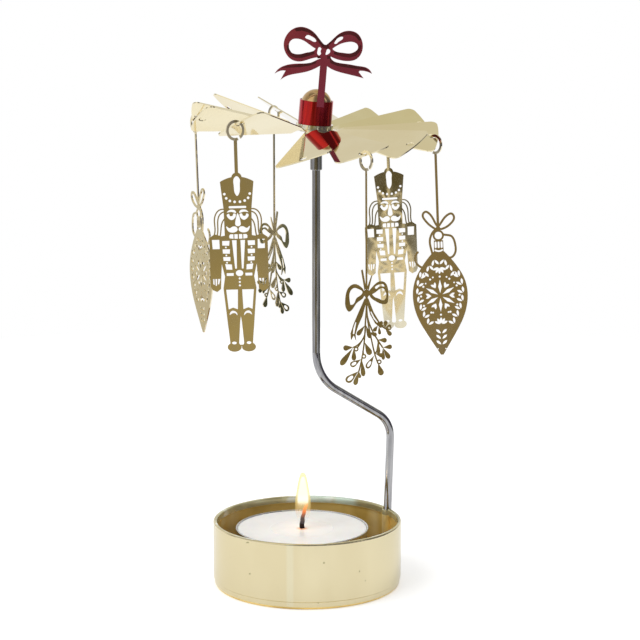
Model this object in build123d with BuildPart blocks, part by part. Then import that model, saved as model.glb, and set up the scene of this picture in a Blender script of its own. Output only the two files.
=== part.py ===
from build123d import *
import math
import os

# Angel chime carousel for a tealight, in millimetres and degrees.
# +Z is up, +X is to the right and +Y is away from the viewer.
# The origin is the centre of the face that the cup stands on.

os.makedirs("parts", exist_ok=True)

# Tealight
candle_diameter = 38.4
candle_height = 15.7
candle_lip_width = 0.25
candle_wall = 0.35
candle_taper = 0.4
candle_shift_x = -1.5
candle_shift_y = 1.0
wax_drop = 0.35
wax_clearance = 0.02
wick_radius = 0.65
wick_height = 6.4
wick_bend_start = 1.5
wick_lean = 1.3
wick_tip_lean = 0.35
wick_plate_radius = 6.5
wick_plate_thickness = 0.3
wick_collar_radius = 1.3
wick_collar_height = 3.0
wick_fit = 0.02

# Cup
cup_diameter = 54.0
cup_height = 18.8
cup_sheet = 0.5
hem_height = 2.0
hem_gap = 0.1
hem_round = 0.45
foot_step = 0.25
foot_height = 2.4
foot_round = 1.2
pocket_window_depth = 5.0

# Post
wire_radius = 1.15
post_x = 2.6
post_y = 1.2
foot_x = 23.6
foot_y = 12.4
lean_start_height = 19.6
lower_corner_x = 24.4
lower_corner_height = 44.7
upper_corner_height = 59.9
rim_bend_radius = 20.0
lower_bend_radius = 8.5
upper_bend_radius = 13.0
post_top_height = 122.6
post_foot_gap = 0.05
pocket_fit = 0.03
strap_start = 4.5
strap_height = 5.5

# Sleeve and needle on the post's top
sleeve_radius = 1.68
sleeve_overlap = 3.6
sleeve_height = 8.4
sleeve_fit = 0.02
sleeve_chamfer = 0.2
needle_radius = 0.6
needle_point_length = 2.4
needle_tip_radius = 0.08
needle_reach = 14.4

# Rotor frame: it hangs on the needle's tip and leans a little
rotor_lean_right = 4.7
rotor_lean_front = 4.5

# Hub
hub_radius = 4.35
hub_bore_radius = 2.5
dome_start = 0.2
neck_end = 0.25
plate_drop = 6.5
hub_flange_radius = 5.2
hub_flange_thickness = 1.2
hub_neck_radius = 3.1
neck_fit = 0.03
washer_radius = 4.7
washer_thickness = 0.5
seat_radius = 1.7
seat_fit = 0.05
seat_skirt = 0.9
seat_dimple_radius = 1.3
seat_tip_gap = 0.05

# Rotor sheet
rotor_radius = 34.7
rotor_sheet = 0.35
blade_count = 12
blade_chord = 16.4
blade_first_angle = 22.8
blade_corner_radius = 1.8
blade_root_radius = 8.2
root_width = 2.6
root_radius = 6.2
root_disc_radius = 5.6
hook_hole_radius = 1.1
hook_hole_inset = 1.8
blade_pitches = [25.3, 29.0, 26.0, 32.0, 32.0, 36.0, 33.0, 30.8, 22.5, 19.0, 24.1, 23.8]
blade_raises = [4.7, -1.0, 1.0, 0.1, 3.1, 0.9, 3.9, 7.0, -9.2, -3.9, 1.0, 2.0]
blade_swings = [0.4, -1.4, 0.0, -4.7, -4.2, 2.0, -2.6, -0.2, 3.9, 0.7, -1.2, 2.3]

# Topper: a rolled band and a flat bow on a stem
band_height = 6.6
band_sheet = 0.3
band_fit = 0.03
band_seam = 0.4
bow_height = 21.45
bow_sheet = 0.35
bow_foot_rise = 5.3
bow_stem_width = 1.95
bow_shift = 1.1
bow_seat_gap = 0.02

# Pendants
pendant_sheet = 0.35
ring_outer_radius = 2.75
ring_width = 0.75
ring_gap = 0.7
ring_clearance = 0.25
ring_outward_shift = 0.15
ring_gap_right = -62
ring_gap_left = 242
nutcracker_height = 47.0
nutcracker_drop = 12.4
nutcracker_stem = 0.9
mistletoe_height = 31.4
mistletoe_drop = 28.8
mistletoe_stem = 0.5
bauble_height = 41.6
bauble_drop = 17.9
bauble_stem = 0.7

# Shares below are hundredths of the height of the figure that they draw
whole_share = 100.0
bow_stem_top_share = 66
nutcracker_stem_share = 101.4
mistletoe_stem_share = 80
bauble_stem_share = 87

# Half of a leaf's outline, as shares of its length and its width
leaf_half_shares = [(0, 0), (0.3, 0.2), (0.58, 0.42), (0.8, 0.5), (0.94, 0.34), (1, 0)]
leaf_hollow_middle_share = 0.68
leaf_hollow_length_share = 0.42
leaf_hollow_width_share = 0.5

full_turn = 360
half_turn = 180
quarter_turn = 90


def sized(shares, height):
    """Turns hundredths of a figure's height into millimetres."""
    return [(x * height / whole_share, y * height / whole_share) for x, y in shares]


def mirrored(shares):
    """The same points on the other side of the figure's centre line."""
    return [(-x, y) for x, y in shares]


def polygon_face(shares, height):
    """A flat face with straight sides."""
    with BuildSketch() as face:
        with BuildLine():
            Polyline(*sized(shares, height), close=True)
        make_face()
    return face.sketch


def round_face(shares, height):
    """A flat face with one smooth closed outline."""
    with BuildSketch() as face:
        with BuildLine():
            Spline(*sized(shares, height), periodic=True)
        make_face()
    return face.sketch


def run_face(runs, height):
    """A flat face whose outline is a row of smooth runs that meet in corners."""
    with BuildSketch() as face:
        with BuildLine():
            for run in runs:
                points = sized(run, height)
                if len(points) > 2:
                    Spline(*points)
                else:
                    Line(*points)
        make_face()
    return face.sketch


def strip_face(shares, height, width_share):
    """A narrow strip of even width along a smooth line."""
    with BuildSketch() as face:
        with BuildLine():
            Spline(*sized(shares, height))
        trace(line_width=width_share * height / whole_share)
    return face.sketch


def leaf_face(leaf, height, hollow=False):
    """A leaf with a slim base and a broad round tip, solid or as a rim."""
    base_x, base_y, tip_x, tip_y, width = leaf
    length = math.dist((base_x, base_y), (tip_x, tip_y))
    angle = math.degrees(math.atan2(tip_y - base_y, tip_x - base_x))
    upper = [(x * length, y * width) for x, y in leaf_half_shares]
    lower = [(x, -y) for x, y in upper[-2:0:-1]]
    with BuildSketch() as outline:
        with BuildLine():
            Spline(*sized(upper + lower + upper[:1], height))
        make_face()
        if hollow:
            with Locations(*sized([(length * leaf_hollow_middle_share, 0)], height)):
                Ellipse(
                    length * leaf_hollow_length_share / 2 * height / whole_share,
                    width * leaf_hollow_width_share / 2 * height / whole_share,
                    mode=Mode.SUBTRACT,
                )
    with BuildSketch() as face:
        with Locations(Location((*sized([(base_x, base_y)], height)[0], 0), (0, 0, angle))):
            add(outline.sketch)
    return face.sketch


# Candle cup: one pressed and plated sheet, with a hemmed rim and a stepped foot
cup_radius = cup_diameter / 2
foot_radius = cup_radius - foot_step
hem_inner_radius = cup_radius - 2 * cup_sheet - hem_gap
pocket_radius = wire_radius + pocket_fit
pocket_outer_radius = pocket_radius + cup_sheet
foot_angle = math.degrees(math.atan2(foot_y, foot_x))
pocket_plane = Plane(
    origin=(foot_x, foot_y, foot_height),
    x_dir=(foot_x, foot_y, 0),
    z_dir=(0, 0, 1),
)
pocket_height = cup_height - hem_round - foot_height

with BuildPart() as base_cup:
    with BuildSketch(Plane.XZ):
        with BuildLine():
            Polyline(
                (0, cup_sheet),
                (0, 0),
                (foot_radius - foot_round, 0),
            )
            RadiusArc(
                (foot_radius - foot_round, 0),
                (foot_radius, foot_round),
                -foot_round,
            )
            Polyline(
                (foot_radius, foot_round),
                (foot_radius, foot_height - foot_step),
                (cup_radius, foot_height),
                (cup_radius, cup_height - hem_round),
            )
            RadiusArc(
                (cup_radius, cup_height - hem_round),
                (cup_radius - hem_round, cup_height),
                -hem_round,
            )
            Line((cup_radius - hem_round, cup_height), (hem_inner_radius + hem_round, cup_height))
            RadiusArc(
                (hem_inner_radius + hem_round, cup_height),
                (hem_inner_radius, cup_height - hem_round),
                -hem_round,
            )
            Polyline(
                (hem_inner_radius, cup_height - hem_round),
                (hem_inner_radius, cup_height - hem_height),
                (cup_radius - cup_sheet, cup_height - hem_height),
                (cup_radius - cup_sheet, foot_height),
                (foot_radius - cup_sheet, foot_height - foot_step),
                (foot_radius - cup_sheet, cup_sheet),
                (0, cup_sheet),
            )
        make_face()
    revolve(axis=Axis.Z)
    with BuildSketch(pocket_plane):
        Rectangle(pocket_window_depth, 2 * pocket_outer_radius - cup_sheet)
    extrude(amount=cup_height, mode=Mode.SUBTRACT)
    with BuildSketch(pocket_plane):
        with BuildLine():
            CenterArc((0, 0), pocket_outer_radius, 90, 180)
            Line((0, -pocket_outer_radius), (0, pocket_outer_radius))
        make_face()
    extrude(amount=pocket_height)
    with BuildSketch(pocket_plane):
        Rectangle(2 * cup_sheet, 2 * pocket_outer_radius)
    extrude(amount=pocket_height)
    with BuildSketch(pocket_plane.offset(strap_start)):
        Circle(pocket_outer_radius)
    extrude(amount=strap_height)
    with BuildSketch(pocket_plane):
        Circle(pocket_radius)
    extrude(amount=cup_height, mode=Mode.SUBTRACT)

# Post: one piece of bright wire, bent from the pocket to the cup's middle
foot_reach = math.hypot(foot_x - post_x, foot_y - post_y)
corner_share = (lower_corner_x - post_x) / (foot_x - post_x)
lower_corner_y = post_y + corner_share * (foot_y - post_y)
post_foot_height = foot_height + post_foot_gap

with BuildPart() as post_rod:
    with BuildLine() as post_path:
        FilletPolyline(
            (foot_x, foot_y, post_foot_height),
            (foot_x, foot_y, lean_start_height),
            (lower_corner_x, lower_corner_y, lower_corner_height),
            (post_x, post_y, upper_corner_height),
            (post_x, post_y, post_top_height),
            radius=[rim_bend_radius, lower_bend_radius, upper_bend_radius],
        )
    with BuildSketch(Plane(origin=(foot_x, foot_y, post_foot_height))):
        Circle(wire_radius)
    sweep()

# Sleeve: a short steel tube, pressed on the post and holding the needle
post_plane = Plane(origin=(post_x, post_y, 0))
sleeve_start_height = post_top_height - sleeve_overlap
needle_tip_height = post_top_height + needle_reach

with BuildPart() as needle_sleeve:
    with BuildSketch(post_plane.offset(sleeve_start_height)):
        Circle(sleeve_radius)
    extrude(amount=sleeve_height)
    chamfer(edges().filter_by(GeomType.CIRCLE), length=sleeve_chamfer)
    with BuildSketch(post_plane.offset(sleeve_start_height)):
        Circle(wire_radius + sleeve_fit)
    extrude(amount=post_top_height - sleeve_start_height, mode=Mode.SUBTRACT)
    with BuildSketch(post_plane.offset(post_top_height)):
        Circle(needle_radius + sleeve_fit)
    extrude(amount=sleeve_height, mode=Mode.SUBTRACT)

# Needle: the hardened point that the whole rotor turns on
with BuildPart() as pivot_needle:
    with BuildSketch(Plane(origin=(post_x, post_y, 0), x_dir=(1, 0, 0), z_dir=(0, -1, 0))):
        with BuildLine():
            Polyline(
                (0, post_top_height),
                (needle_radius, post_top_height),
                (needle_radius, needle_tip_height - needle_point_length),
                (needle_tip_radius, needle_tip_height - needle_tip_radius),
                (0, needle_tip_height),
                close=True,
            )
        make_face()
    revolve(axis=Axis((post_x, post_y, 0), (0, 0, 1)))

# Rotor frame: every rotor piece is drawn on this leaning plane
rotor_place = Pos(post_x, post_y, needle_tip_height) * Rot(X=rotor_lean_front) * Rot(Y=rotor_lean_right)
rotor_plane = Plane(rotor_place)
rotor_profile = Plane(
    origin=rotor_plane.origin,
    x_dir=rotor_plane.x_dir,
    z_dir=-rotor_plane.y_dir,
)
rotor_axis = Axis(rotor_plane.origin, rotor_plane.z_dir)
plate_top = rotor_sheet / 2 - plate_drop
plate_bottom = -rotor_sheet / 2 - plate_drop
flange_top = plate_top + hub_flange_thickness
neck_bottom = plate_bottom - washer_thickness - neck_end
recess_radius = seat_radius + seat_fit

# Bearing seat: a small hard half ball with a dimple that rides on the needle's tip
with BuildPart() as bearing_seat:
    with BuildSketch(Plane(origin=(post_x, post_y, needle_tip_height), x_dir=(1, 0, 0), z_dir=(0, -1, 0))):
        with BuildLine():
            CenterArc((0, 0), seat_radius, 0, 90)
            Line((0, seat_radius), (0, seat_tip_gap))
            Line((0, seat_tip_gap), (seat_dimple_radius, -seat_skirt))
            Line((seat_dimple_radius, -seat_skirt), (seat_radius, -seat_skirt))
            Line((seat_radius, -seat_skirt), (seat_radius, 0))
        make_face()
    revolve(axis=Axis((post_x, post_y, 0), (0, 0, 1)))

# Hub cap: turned brass with a domed top, a flange and a neck through the sheet
with BuildPart() as hub_cap:
    with BuildSketch(rotor_profile):
        with BuildLine():
            Polyline(
                (hub_bore_radius, neck_bottom),
                (hub_neck_radius, neck_bottom),
                (hub_neck_radius, plate_top),
                (hub_flange_radius, plate_top),
                (hub_flange_radius, flange_top),
                (hub_radius, flange_top),
                (hub_radius, dome_start),
            )
            CenterArc((0, dome_start), hub_radius, 0, 90)
            Line((0, dome_start + hub_radius), (0, recess_radius))
            ThreePointArc(
                (0, recess_radius),
                (recess_radius * math.sqrt(0.5), recess_radius * math.sqrt(0.5)),
                (recess_radius, 0),
            )
            Polyline(
                (recess_radius, 0),
                (hub_bore_radius, 0),
                (hub_bore_radius, neck_bottom),
            )
        make_face()
    revolve(axis=rotor_axis)

# Washer under the sheet: the neck is spread over it and clamps the sheet
with BuildPart() as hub_washer:
    with BuildSketch(rotor_plane.offset(plate_bottom - washer_thickness)):
        Circle(washer_radius)
        Circle(hub_neck_radius + neck_fit, mode=Mode.SUBTRACT)
    extrude(amount=washer_thickness)


def blade_place(index):
    """The frame at a blade's root: X runs out along the blade and Z leaves its face."""
    angle = blade_first_angle + index * full_turn / blade_count
    return (
        rotor_place
        * Pos(0, 0, -plate_drop)
        * Rot(Z=angle)
        * Pos(blade_root_radius, 0, 0)
        * Rot(Z=blade_swings[index])
        * Rot(Y=-blade_raises[index])
        * Rot(X=blade_pitches[index])
    )


# Rotor sheet: twelve blades cut from one disc, each twisted and bent by hand at its neck
blade_length = rotor_radius - blade_root_radius
blade_tip_half = blade_chord / 2
blade_root_half = blade_tip_half * blade_root_radius / rotor_radius
blade_bulge = rotor_radius - math.sqrt(rotor_radius**2 - blade_tip_half**2)
hook_hole_reach = blade_length - hook_hole_inset

with BuildPart() as rotor_blades:
    with BuildSketch(rotor_plane.offset(plate_bottom)):
        Circle(root_disc_radius)
        with PolarLocations(root_radius / 2, blade_count, start_angle=blade_first_angle):
            Rectangle(root_radius, root_width)
        Circle(hub_neck_radius + neck_fit, mode=Mode.SUBTRACT)
    extrude(amount=rotor_sheet)
    for index in range(blade_count):
        blade_plane = Plane(blade_place(index))
        with BuildSketch(blade_plane.offset(-rotor_sheet / 2)):
            with BuildLine():
                Polyline(
                    (blade_length - blade_bulge, -blade_tip_half),
                    (0, -blade_root_half),
                    (0, blade_root_half),
                    (blade_length - blade_bulge, blade_tip_half),
                )
                ThreePointArc(
                    (blade_length - blade_bulge, blade_tip_half),
                    (blade_length, 0),
                    (blade_length - blade_bulge, -blade_tip_half),
                )
            face = make_face()
            fillet(face.vertices().group_by(SortBy.DISTANCE)[-1], radius=blade_corner_radius)
            with Locations((hook_hole_reach, 0)):
                Circle(hook_hole_radius, mode=Mode.SUBTRACT)
        extrude(amount=rotor_sheet)
        angle = blade_first_angle + index * full_turn / blade_count
        root_plane = Plane(rotor_place * Pos(0, 0, -plate_drop) * Rot(Z=angle) * Pos(root_radius, 0, 0))
        with BuildSketch(Plane(origin=root_plane.origin, x_dir=root_plane.y_dir, z_dir=root_plane.x_dir)):
            Rectangle(root_width, rotor_sheet)
        with BuildSketch(Plane(origin=blade_plane.origin, x_dir=blade_plane.y_dir, z_dir=blade_plane.x_dir)):
            Rectangle(2 * blade_root_half, rotor_sheet)
        loft(ruled=True)

# Topper: a rolled band that slips over the hub, and a flat bow fixed to its face
band_inner_radius = hub_radius + band_fit
band_radius = band_inner_radius + band_sheet
band_bottom = flange_top + bow_seat_gap

with BuildPart() as topper_band:
    with BuildSketch(rotor_plane.offset(band_bottom)):
        Circle(band_radius)
        Circle(band_inner_radius, mode=Mode.SUBTRACT)
        with Locations((0, band_radius)):
            Rectangle(band_seam, 4 * band_sheet, mode=Mode.SUBTRACT)
    extrude(amount=band_height)

bow_left_loop_shares = [
    [(0, 79), (-7.5, 86), (-14, 93), (-22, 98), (-31, 100), (-41, 97.5), (-49, 90), (-53, 78), (-50, 66),
     (-41, 57.5), (-31, 56), (-20, 59.5), (-9, 63)],
    [(-9, 63), (0, 63)],
    [(0, 63), (0, 79)],
]
bow_right_loop_shares = [
    [(0, 79), (8, 86.5), (15, 94), (23, 98.8), (31, 100), (39.5, 97.5), (45.5, 90.5), (48, 80.5), (46, 71),
     (39.5, 64), (31, 61.6), (21.5, 61.8), (12.5, 63.8), (7, 66)],
    [(7, 66), (0, 60)],
    [(0, 60), (0, 79)],
]
bow_left_tail_shares = [
    [(0, 63), (-9, 60), (-15, 56.5), (-30, 53.5), (-48, 50), (-54, 47), (-61.7, 37.8)],
    [(-61.7, 37.8), (-52, 42.8), (-48, 43)],
    [(-48, 43), (-53.8, 30.3)],
    [(-53.8, 30.3), (-47, 35.7), (-35, 40), (-22, 43.5), (-11, 48.5), (-3, 54)],
    [(-3, 54), (0, 63)],
]
bow_right_tail_shares = [
    [(0, 63), (6, 66), (11, 61), (16.5, 58.8), (30, 57.8), (44, 56.5), (54, 55.5), (62.7, 48)],
    [(62.7, 48), (54, 50.5), (46.5, 50.5)],
    [(46.5, 50.5), (45.6, 48.7)],
    [(45.6, 48.7), (52.5, 41.2)],
    [(52.5, 41.2), (34, 44.5), (22, 46.5), (11, 49.5), (3, 54)],
    [(3, 54), (0, 63)],
]
bow_window_shares = [
    [(-12.6, 74.3), (-21, 79), (-29, 83.3), (-36, 84.6), (-42.5, 83), (-46, 78), (-45.5, 71.5), (-42, 66.5),
     (-36, 65), (-29, 66), (-21, 68.6), (-14, 71.3)],
    [(-26, 88.2), (-23, 90.3), (-17.5, 88.6), (-13, 85.7), (-12, 83), (-14, 82.4), (-20.5, 84.6)],
    [(10, 76), (17.6, 81.6), (28, 85.6), (36, 86), (41, 83), (41.8, 78.6), (38.5, 74.4), (31.5, 71.4),
     (22.5, 71.6), (13, 73)],
    [(11.2, 82.8), (13, 86.7), (19, 91.6), (21.8, 91.2), (21.3, 89), (16.3, 84.8), (12.3, 82)],
    [(-6.3, 76), (-4.6, 74.2), (-5.4, 71), (-4.6, 68.5), (-7, 65.8), (-9.2, 67.6), (-9.2, 72)],
    [(4.8, 74.7), (6.9, 72.5), (5.7, 69.3), (1.4, 67.5), (1.6, 70)],
]
bow_stem_length = bow_height * bow_stem_top_share / whole_share
bow_plane = Plane(
    rotor_place
    * Pos(bow_shift, -band_radius - bow_seat_gap, band_bottom + bow_foot_rise)
    * Rot(X=quarter_turn)
)

with BuildPart() as topper_bow:
    with BuildSketch(bow_plane):
        add(run_face(bow_left_loop_shares, bow_height))
        add(run_face(bow_right_loop_shares, bow_height))
        add(run_face(bow_left_tail_shares, bow_height))
        add(run_face(bow_right_tail_shares, bow_height))
        with Locations((0, bow_stem_length / 2)):
            Rectangle(bow_stem_width, bow_stem_length)
        for window in bow_window_shares:
            add(round_face(window, bow_height), mode=Mode.SUBTRACT)
    extrude(amount=bow_sheet)

# Nutcracker: a soldier cut from sheet, drawn as one half and mirrored
nutcracker_body_shares = [
    [(0, 98.2), (9.5, 97.6), (7.9, 82), (7.7, 67), (10, 66.6), (10, 51), (8.3, 43.5), (9.4, 36.8), (6.5, 5),
     (4, 2), (0, 3.2)],
    [(9.8, 66.8), (13.6, 67.9), (16.6, 65.8), (16.6, 38), (15.6, 36), (13, 34.8), (10.8, 36.5), (10.4, 43.5),
     (9.9, 51)],
]
nutcracker_hat_shares = [(-9.5, 97.6), (0, 100.4), (9.5, 97.6)]
nutcracker_foot_share = (4.1, 2.7)
nutcracker_foot_size_share = (4.0, 2.7)
nutcracker_collar_share = (0, 99.8)
nutcracker_collar_size_share = 2.9
nutcracker_hair_shares = [
    [(7.6, 82), (11.2, 81), (13.2, 77), (13.1, 71.5), (14, 66.8)],
    [(7.4, 80.6), (10.3, 78.8), (11.4, 75.5), (11.5, 70.8), (12.2, 66.8)],
    [(7.4, 76.6), (9.2, 73.7), (9.8, 70), (10.4, 66.6)],
]
nutcracker_hair_width_share = 0.75
nutcracker_slot_shares = [(1.9, 97.5), (1.7, 95), (0.7, 90), (0, 89.4), (-0.7, 90), (-1.7, 95), (-1.9, 97.5),
                          (-1.4, 99.6), (0, 100.6), (1.4, 99.6)]
nutcracker_nose_shares = [(0, 79.6), (0.55, 78.6), (1.5, 74.6), (1.4, 72.9), (0, 72.2), (-1.4, 72.9),
                          (-1.5, 74.6), (-0.55, 78.6)]
nutcracker_visor_share = (0, 83.1, 10.0, 1.25)
nutcracker_buckle_share = (0, 45.4, 2.1, 1.75)
nutcracker_crotch_shares = [(0, 20.6), (0.5, 17.5), (0.9, 12), (1.4, 5), (0.9, 4), (-0.9, 4), (-1.4, 5),
                            (-0.9, 12), (-0.5, 17.5)]
nutcracker_half_round_shares = [
    [(0.9, 80.2), (1.6, 81.3), (3.4, 81.7), (5, 81.3), (6.1, 80.2), (3.4, 80.4)],
    [(1.1, 79.1), (1.5, 77.2), (3.4, 75.8), (5.3, 76.8), (6, 79), (4.9, 79.3), (4.5, 78.3), (3.6, 78),
     (2.8, 78.4), (2.5, 79.3)],
    [(0.35, 70.8), (1.6, 72.1), (3.4, 71.9), (5, 71.2), (6.6, 72.3), (5.9, 69.8), (4, 68.7), (1.6, 68.9)],
    [(1.9, 21.3), (2.9, 23.3), (4.3, 23.8), (5.7, 23.2), (6.3, 21.4), (5.2, 22.1), (4.2, 22.4), (3, 22.1)],
]
nutcracker_straight_shares = [
    [(0.35, 65.1), (0.35, 67.7), (2.25, 67.7), (2.25, 65.1)],
    [(2.8, 65.1), (2.8, 67.7), (4.6, 67.7), (5.2, 66.8), (5, 65.4)],
    [(10.9, 64.7), (15.1, 64.7), (14.8, 59.4), (10.8, 59.4)],
    [(5.1, 64), (9.3, 64), (9.3, 61.4), (5.4, 61.2)],
    [(5, 59.2), (9.2, 59.2), (9.1, 56.8), (5.2, 56.6)],
    [(4.9, 54.8), (9, 54.8), (8.8, 52.6), (5, 52.4)],
    [(4.2, 50.4), (8, 50.8), (7.4, 47.6), (4, 47.4)],
    [(1.1, 64.3), (3.7, 64.3), (2.4, 48), (1.4, 48)],
    [(3.3, 45.5), (7.3, 45.5), (7.3, 43.9), (3.4, 43.9)],
    [(1.2, 36), (7.9, 36), (6.8, 24.6), (4.3, 25.6), (1.6, 24.6)],
    [(11, 42.3), (12.2, 42.3), (12.5, 39.2), (11.8, 39.2)],
    [(12.8, 42.3), (13.8, 42.3), (13.8, 38.4), (13.1, 38.4)],
    [(14.4, 42.3), (15.5, 42.3), (15, 39.2), (14.4, 38.9)],
]
nutcracker_bead_shares = [
    (1.5, 86.1, 0.75), (4.2, 86.7, 0.75), (6.2, 88.2, 0.75), (7.2, 90.6, 0.75),
    (7.3, 60.3, 0.5), (7.2, 55.7, 0.5), (6.9, 51.5, 0.5),
]
nutcracker_button_shares = [(0, 42.3, 0.6), (0, 40.3, 0.6), (0, 38.3, 0.6)]
nutcracker_toe_share = (4.2, 5.1, 1.3, 0.8)


def beads(shares, height, side=1):
    """Cuts a row of round holes into the sketch in hand."""
    for x, y, radius in shares:
        with Locations(sized([(side * x, y)], height)[0]):
            Circle(radius * height / whole_share, mode=Mode.SUBTRACT)


def ovals(shares, height, side=1, mode=Mode.SUBTRACT):
    """Adds or cuts ovals given by their centre and their two half widths."""
    for x, y, half_width, half_height in shares:
        with Locations(sized([(side * x, y)], height)[0]):
            Ellipse(half_width * height / whole_share, half_height * height / whole_share, mode=mode)


def nutcracker_sheet(height):
    """The whole nutcracker figure, standing on the sketch's origin."""
    with BuildSketch() as figure:
        for mirror_points in (list, mirrored):
            for outline in nutcracker_body_shares:
                add(polygon_face(mirror_points(outline), height))
            for hair in nutcracker_hair_shares:
                add(strip_face(mirror_points(hair), height, nutcracker_hair_width_share))
        add(run_face([nutcracker_hat_shares, [nutcracker_hat_shares[-1], nutcracker_hat_shares[0]]], height))
        for side in (-1, 1):
            ovals([nutcracker_foot_share + nutcracker_foot_size_share], height, side, Mode.ADD)
        with Locations(sized([nutcracker_collar_share], height)[0]):
            Circle(nutcracker_collar_size_share * height / whole_share)
        for mirror_points in (list, mirrored):
            for window in nutcracker_half_round_shares:
                add(round_face(mirror_points(window), height), mode=Mode.SUBTRACT)
            for window in nutcracker_straight_shares:
                add(polygon_face(mirror_points(window), height), mode=Mode.SUBTRACT)
        add(polygon_face(nutcracker_crotch_shares, height), mode=Mode.SUBTRACT)
        for window in (nutcracker_slot_shares, nutcracker_nose_shares):
            add(round_face(window, height), mode=Mode.SUBTRACT)
        visor_x, visor_y, visor_width, visor_height = nutcracker_visor_share
        with Locations(sized([(visor_x, visor_y)], height)[0]):
            SlotOverall(
                visor_width * height / whole_share,
                visor_height * height / whole_share,
                mode=Mode.SUBTRACT,
            )
        ovals([nutcracker_buckle_share], height)
        for side in (-1, 1):
            beads(nutcracker_bead_shares, height, side)
            ovals([nutcracker_toe_share], height, side)
        beads(nutcracker_button_shares, height)
    return figure.sketch


# Mistletoe: a sprig hung upside down from a ribbon bow
mistletoe_left_loop_shares = [(-2.4, 82), (-6.7, 86.3), (-10.4, 87.3), (-14.6, 85), (-17.4, 79.5), (-18.2, 73.3),
                              (-17.2, 66), (-14.9, 63.6), (-12.2, 65.4), (-7.9, 71.4), (-2.4, 76.2)]
mistletoe_right_loop_shares = [(2.4, 82), (6.1, 86.3), (11.6, 89.8), (15.8, 88.7), (18.3, 83.2), (18.6, 76),
                               (17, 70.8), (13.2, 70.4), (8, 72.6), (2.6, 77.4)]
mistletoe_loop_window_shares = [
    [(-13.9, 69.8), (-14.6, 77), (-13.2, 81.9), (-10.6, 83.9), (-6.7, 83), (-3.4, 80.6), (-4.6, 78.2),
     (-8.7, 75), (-12.4, 69.6)],
    [(5, 79), (9.7, 82.1), (13.8, 84), (16.2, 81), (16.5, 75.9), (14.5, 73.6), (10.3, 75), (5.8, 77.3)],
    [(7.2, 84.4), (11.4, 87.3), (14.9, 86.6), (15.2, 85.6), (11.6, 85.6), (7.6, 83.6)],
]
mistletoe_knot_share = (0, 79.5, 2.6, 3.3)
mistletoe_spike_shares = [
    [(-1.8, 82), (-4.6, 99), (-3.2, 100), (-0.2, 84)],
    [(0.2, 84), (4.2, 95), (4.9, 94.4), (1.9, 82)],
]
mistletoe_tail_shares = [
    [(-1.6, 75), (-6.7, 63.5), (-10.9, 53.6), (-13.8, 45), (-13.4, 38.6), (-11, 43.2), (-8.8, 38), (-9.4, 44),
     (-7.2, 51.4), (-3.4, 60), (0.4, 74)],
    [(-0.4, 74), (3, 61.5), (7.2, 53.8), (12, 49.8), (15, 51.6), (10.9, 55.4), (6.2, 63), (1.6, 75)],
]
mistletoe_tail_window_shares = [
    [(-11.7, 44.4), (-11.2, 49.4), (-9.4, 54.8), (-8.8, 54.2), (-9.9, 48.6), (-10.6, 44.4)],
    [(3.2, 63.6), (6, 57.6), (9, 54.2), (9.6, 55), (6.6, 59), (4, 64)],
]
mistletoe_twig_shares = [
    [(-0.4, 77), (-0.5, 61), (-1.1, 52.4), (-1.4, 45), (-4.2, 38.6), (-11.6, 32.8)],
    [(-1.1, 53), (-2.2, 36.3), (-4.2, 22.8), (-6.8, 12)],
    [(0.6, 77), (1.8, 51.1), (4.3, 38.8), (6.8, 27.7), (9.8, 19)],
    [(1.2, 75), (5.5, 46.2), (9.3, 39.6), (13.8, 32.8)],
    [(9.4, 52.4), (12.6, 51.4), (15.4, 49.6)],
    [(9.5, 39), (9.9, 33), (7, 27.7)],
    [(-4.2, 38.6), (-6.4, 34.8), (-8.7, 31.8)],
    [(-3.2, 30), (-2.9, 27.8), (-2.5, 25.4)],
    [(15.4, 49.6), (17.4, 49.2), (19.2, 50)],
]
mistletoe_twig_width_share = 1.3
mistletoe_leaf_shares = [
    (-1, 52.4, -8, 43.4, 3.8), (-0.7, 52.6, 3.1, 40.9, 3.8), (1.9, 46, 8.6, 43.5, 3.6),
    (9.6, 52.2, 6.2, 47, 3.2), (10.4, 52, 11.2, 44.2, 2.6), (9.6, 52.2, 13.6, 55.2, 2.8),
    (15.2, 49.4, 16.6, 56, 3.4), (15.2, 49.8, 20.7, 52.2, 2.6), (15.4, 50, 20.9, 43.6, 3.6),
    (9.2, 39.6, 17.2, 39.2, 4), (9.5, 39, 10.1, 27.6, 3.4), (13.6, 33, 21.6, 33.9, 3.8),
    (13.6, 33.2, 19.4, 23.6, 4), (13.8, 33, 14.2, 22.4, 3), (6.9, 27.9, 14.2, 25.8, 3.6),
    (9.6, 20, 12.8, 9, 5), (-1.9, 37.8, 3.2, 26.6, 5), (-4.3, 23, -2.8, 7.9, 4),
    (-6.8, 12.6, -10.2, 0.2, 4), (-6.9, 12.6, -5.9, 6.4, 2.8), (-11.2, 33, -20, 32, 4.6),
    (-11.3, 33, -22.2, 17.4, 5), (-10.8, 33.4, -11, 21.4, 4),
]
mistletoe_hollow_leaf_shares = [
    (6.6, 26.6, 0, 14.9, 4.6), (-4.6, 22.8, -13.9, 16.8, 5), (-6.7, 12.6, -17.6, 2.9, 6),
]
mistletoe_berry_shares = [(-9, 31.4), (-2.4, 25.2), (10.7, 20.6), (19.2, 50)]
mistletoe_berry_radius_share = 2.1
mistletoe_berry_hole_share = 0.95


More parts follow.
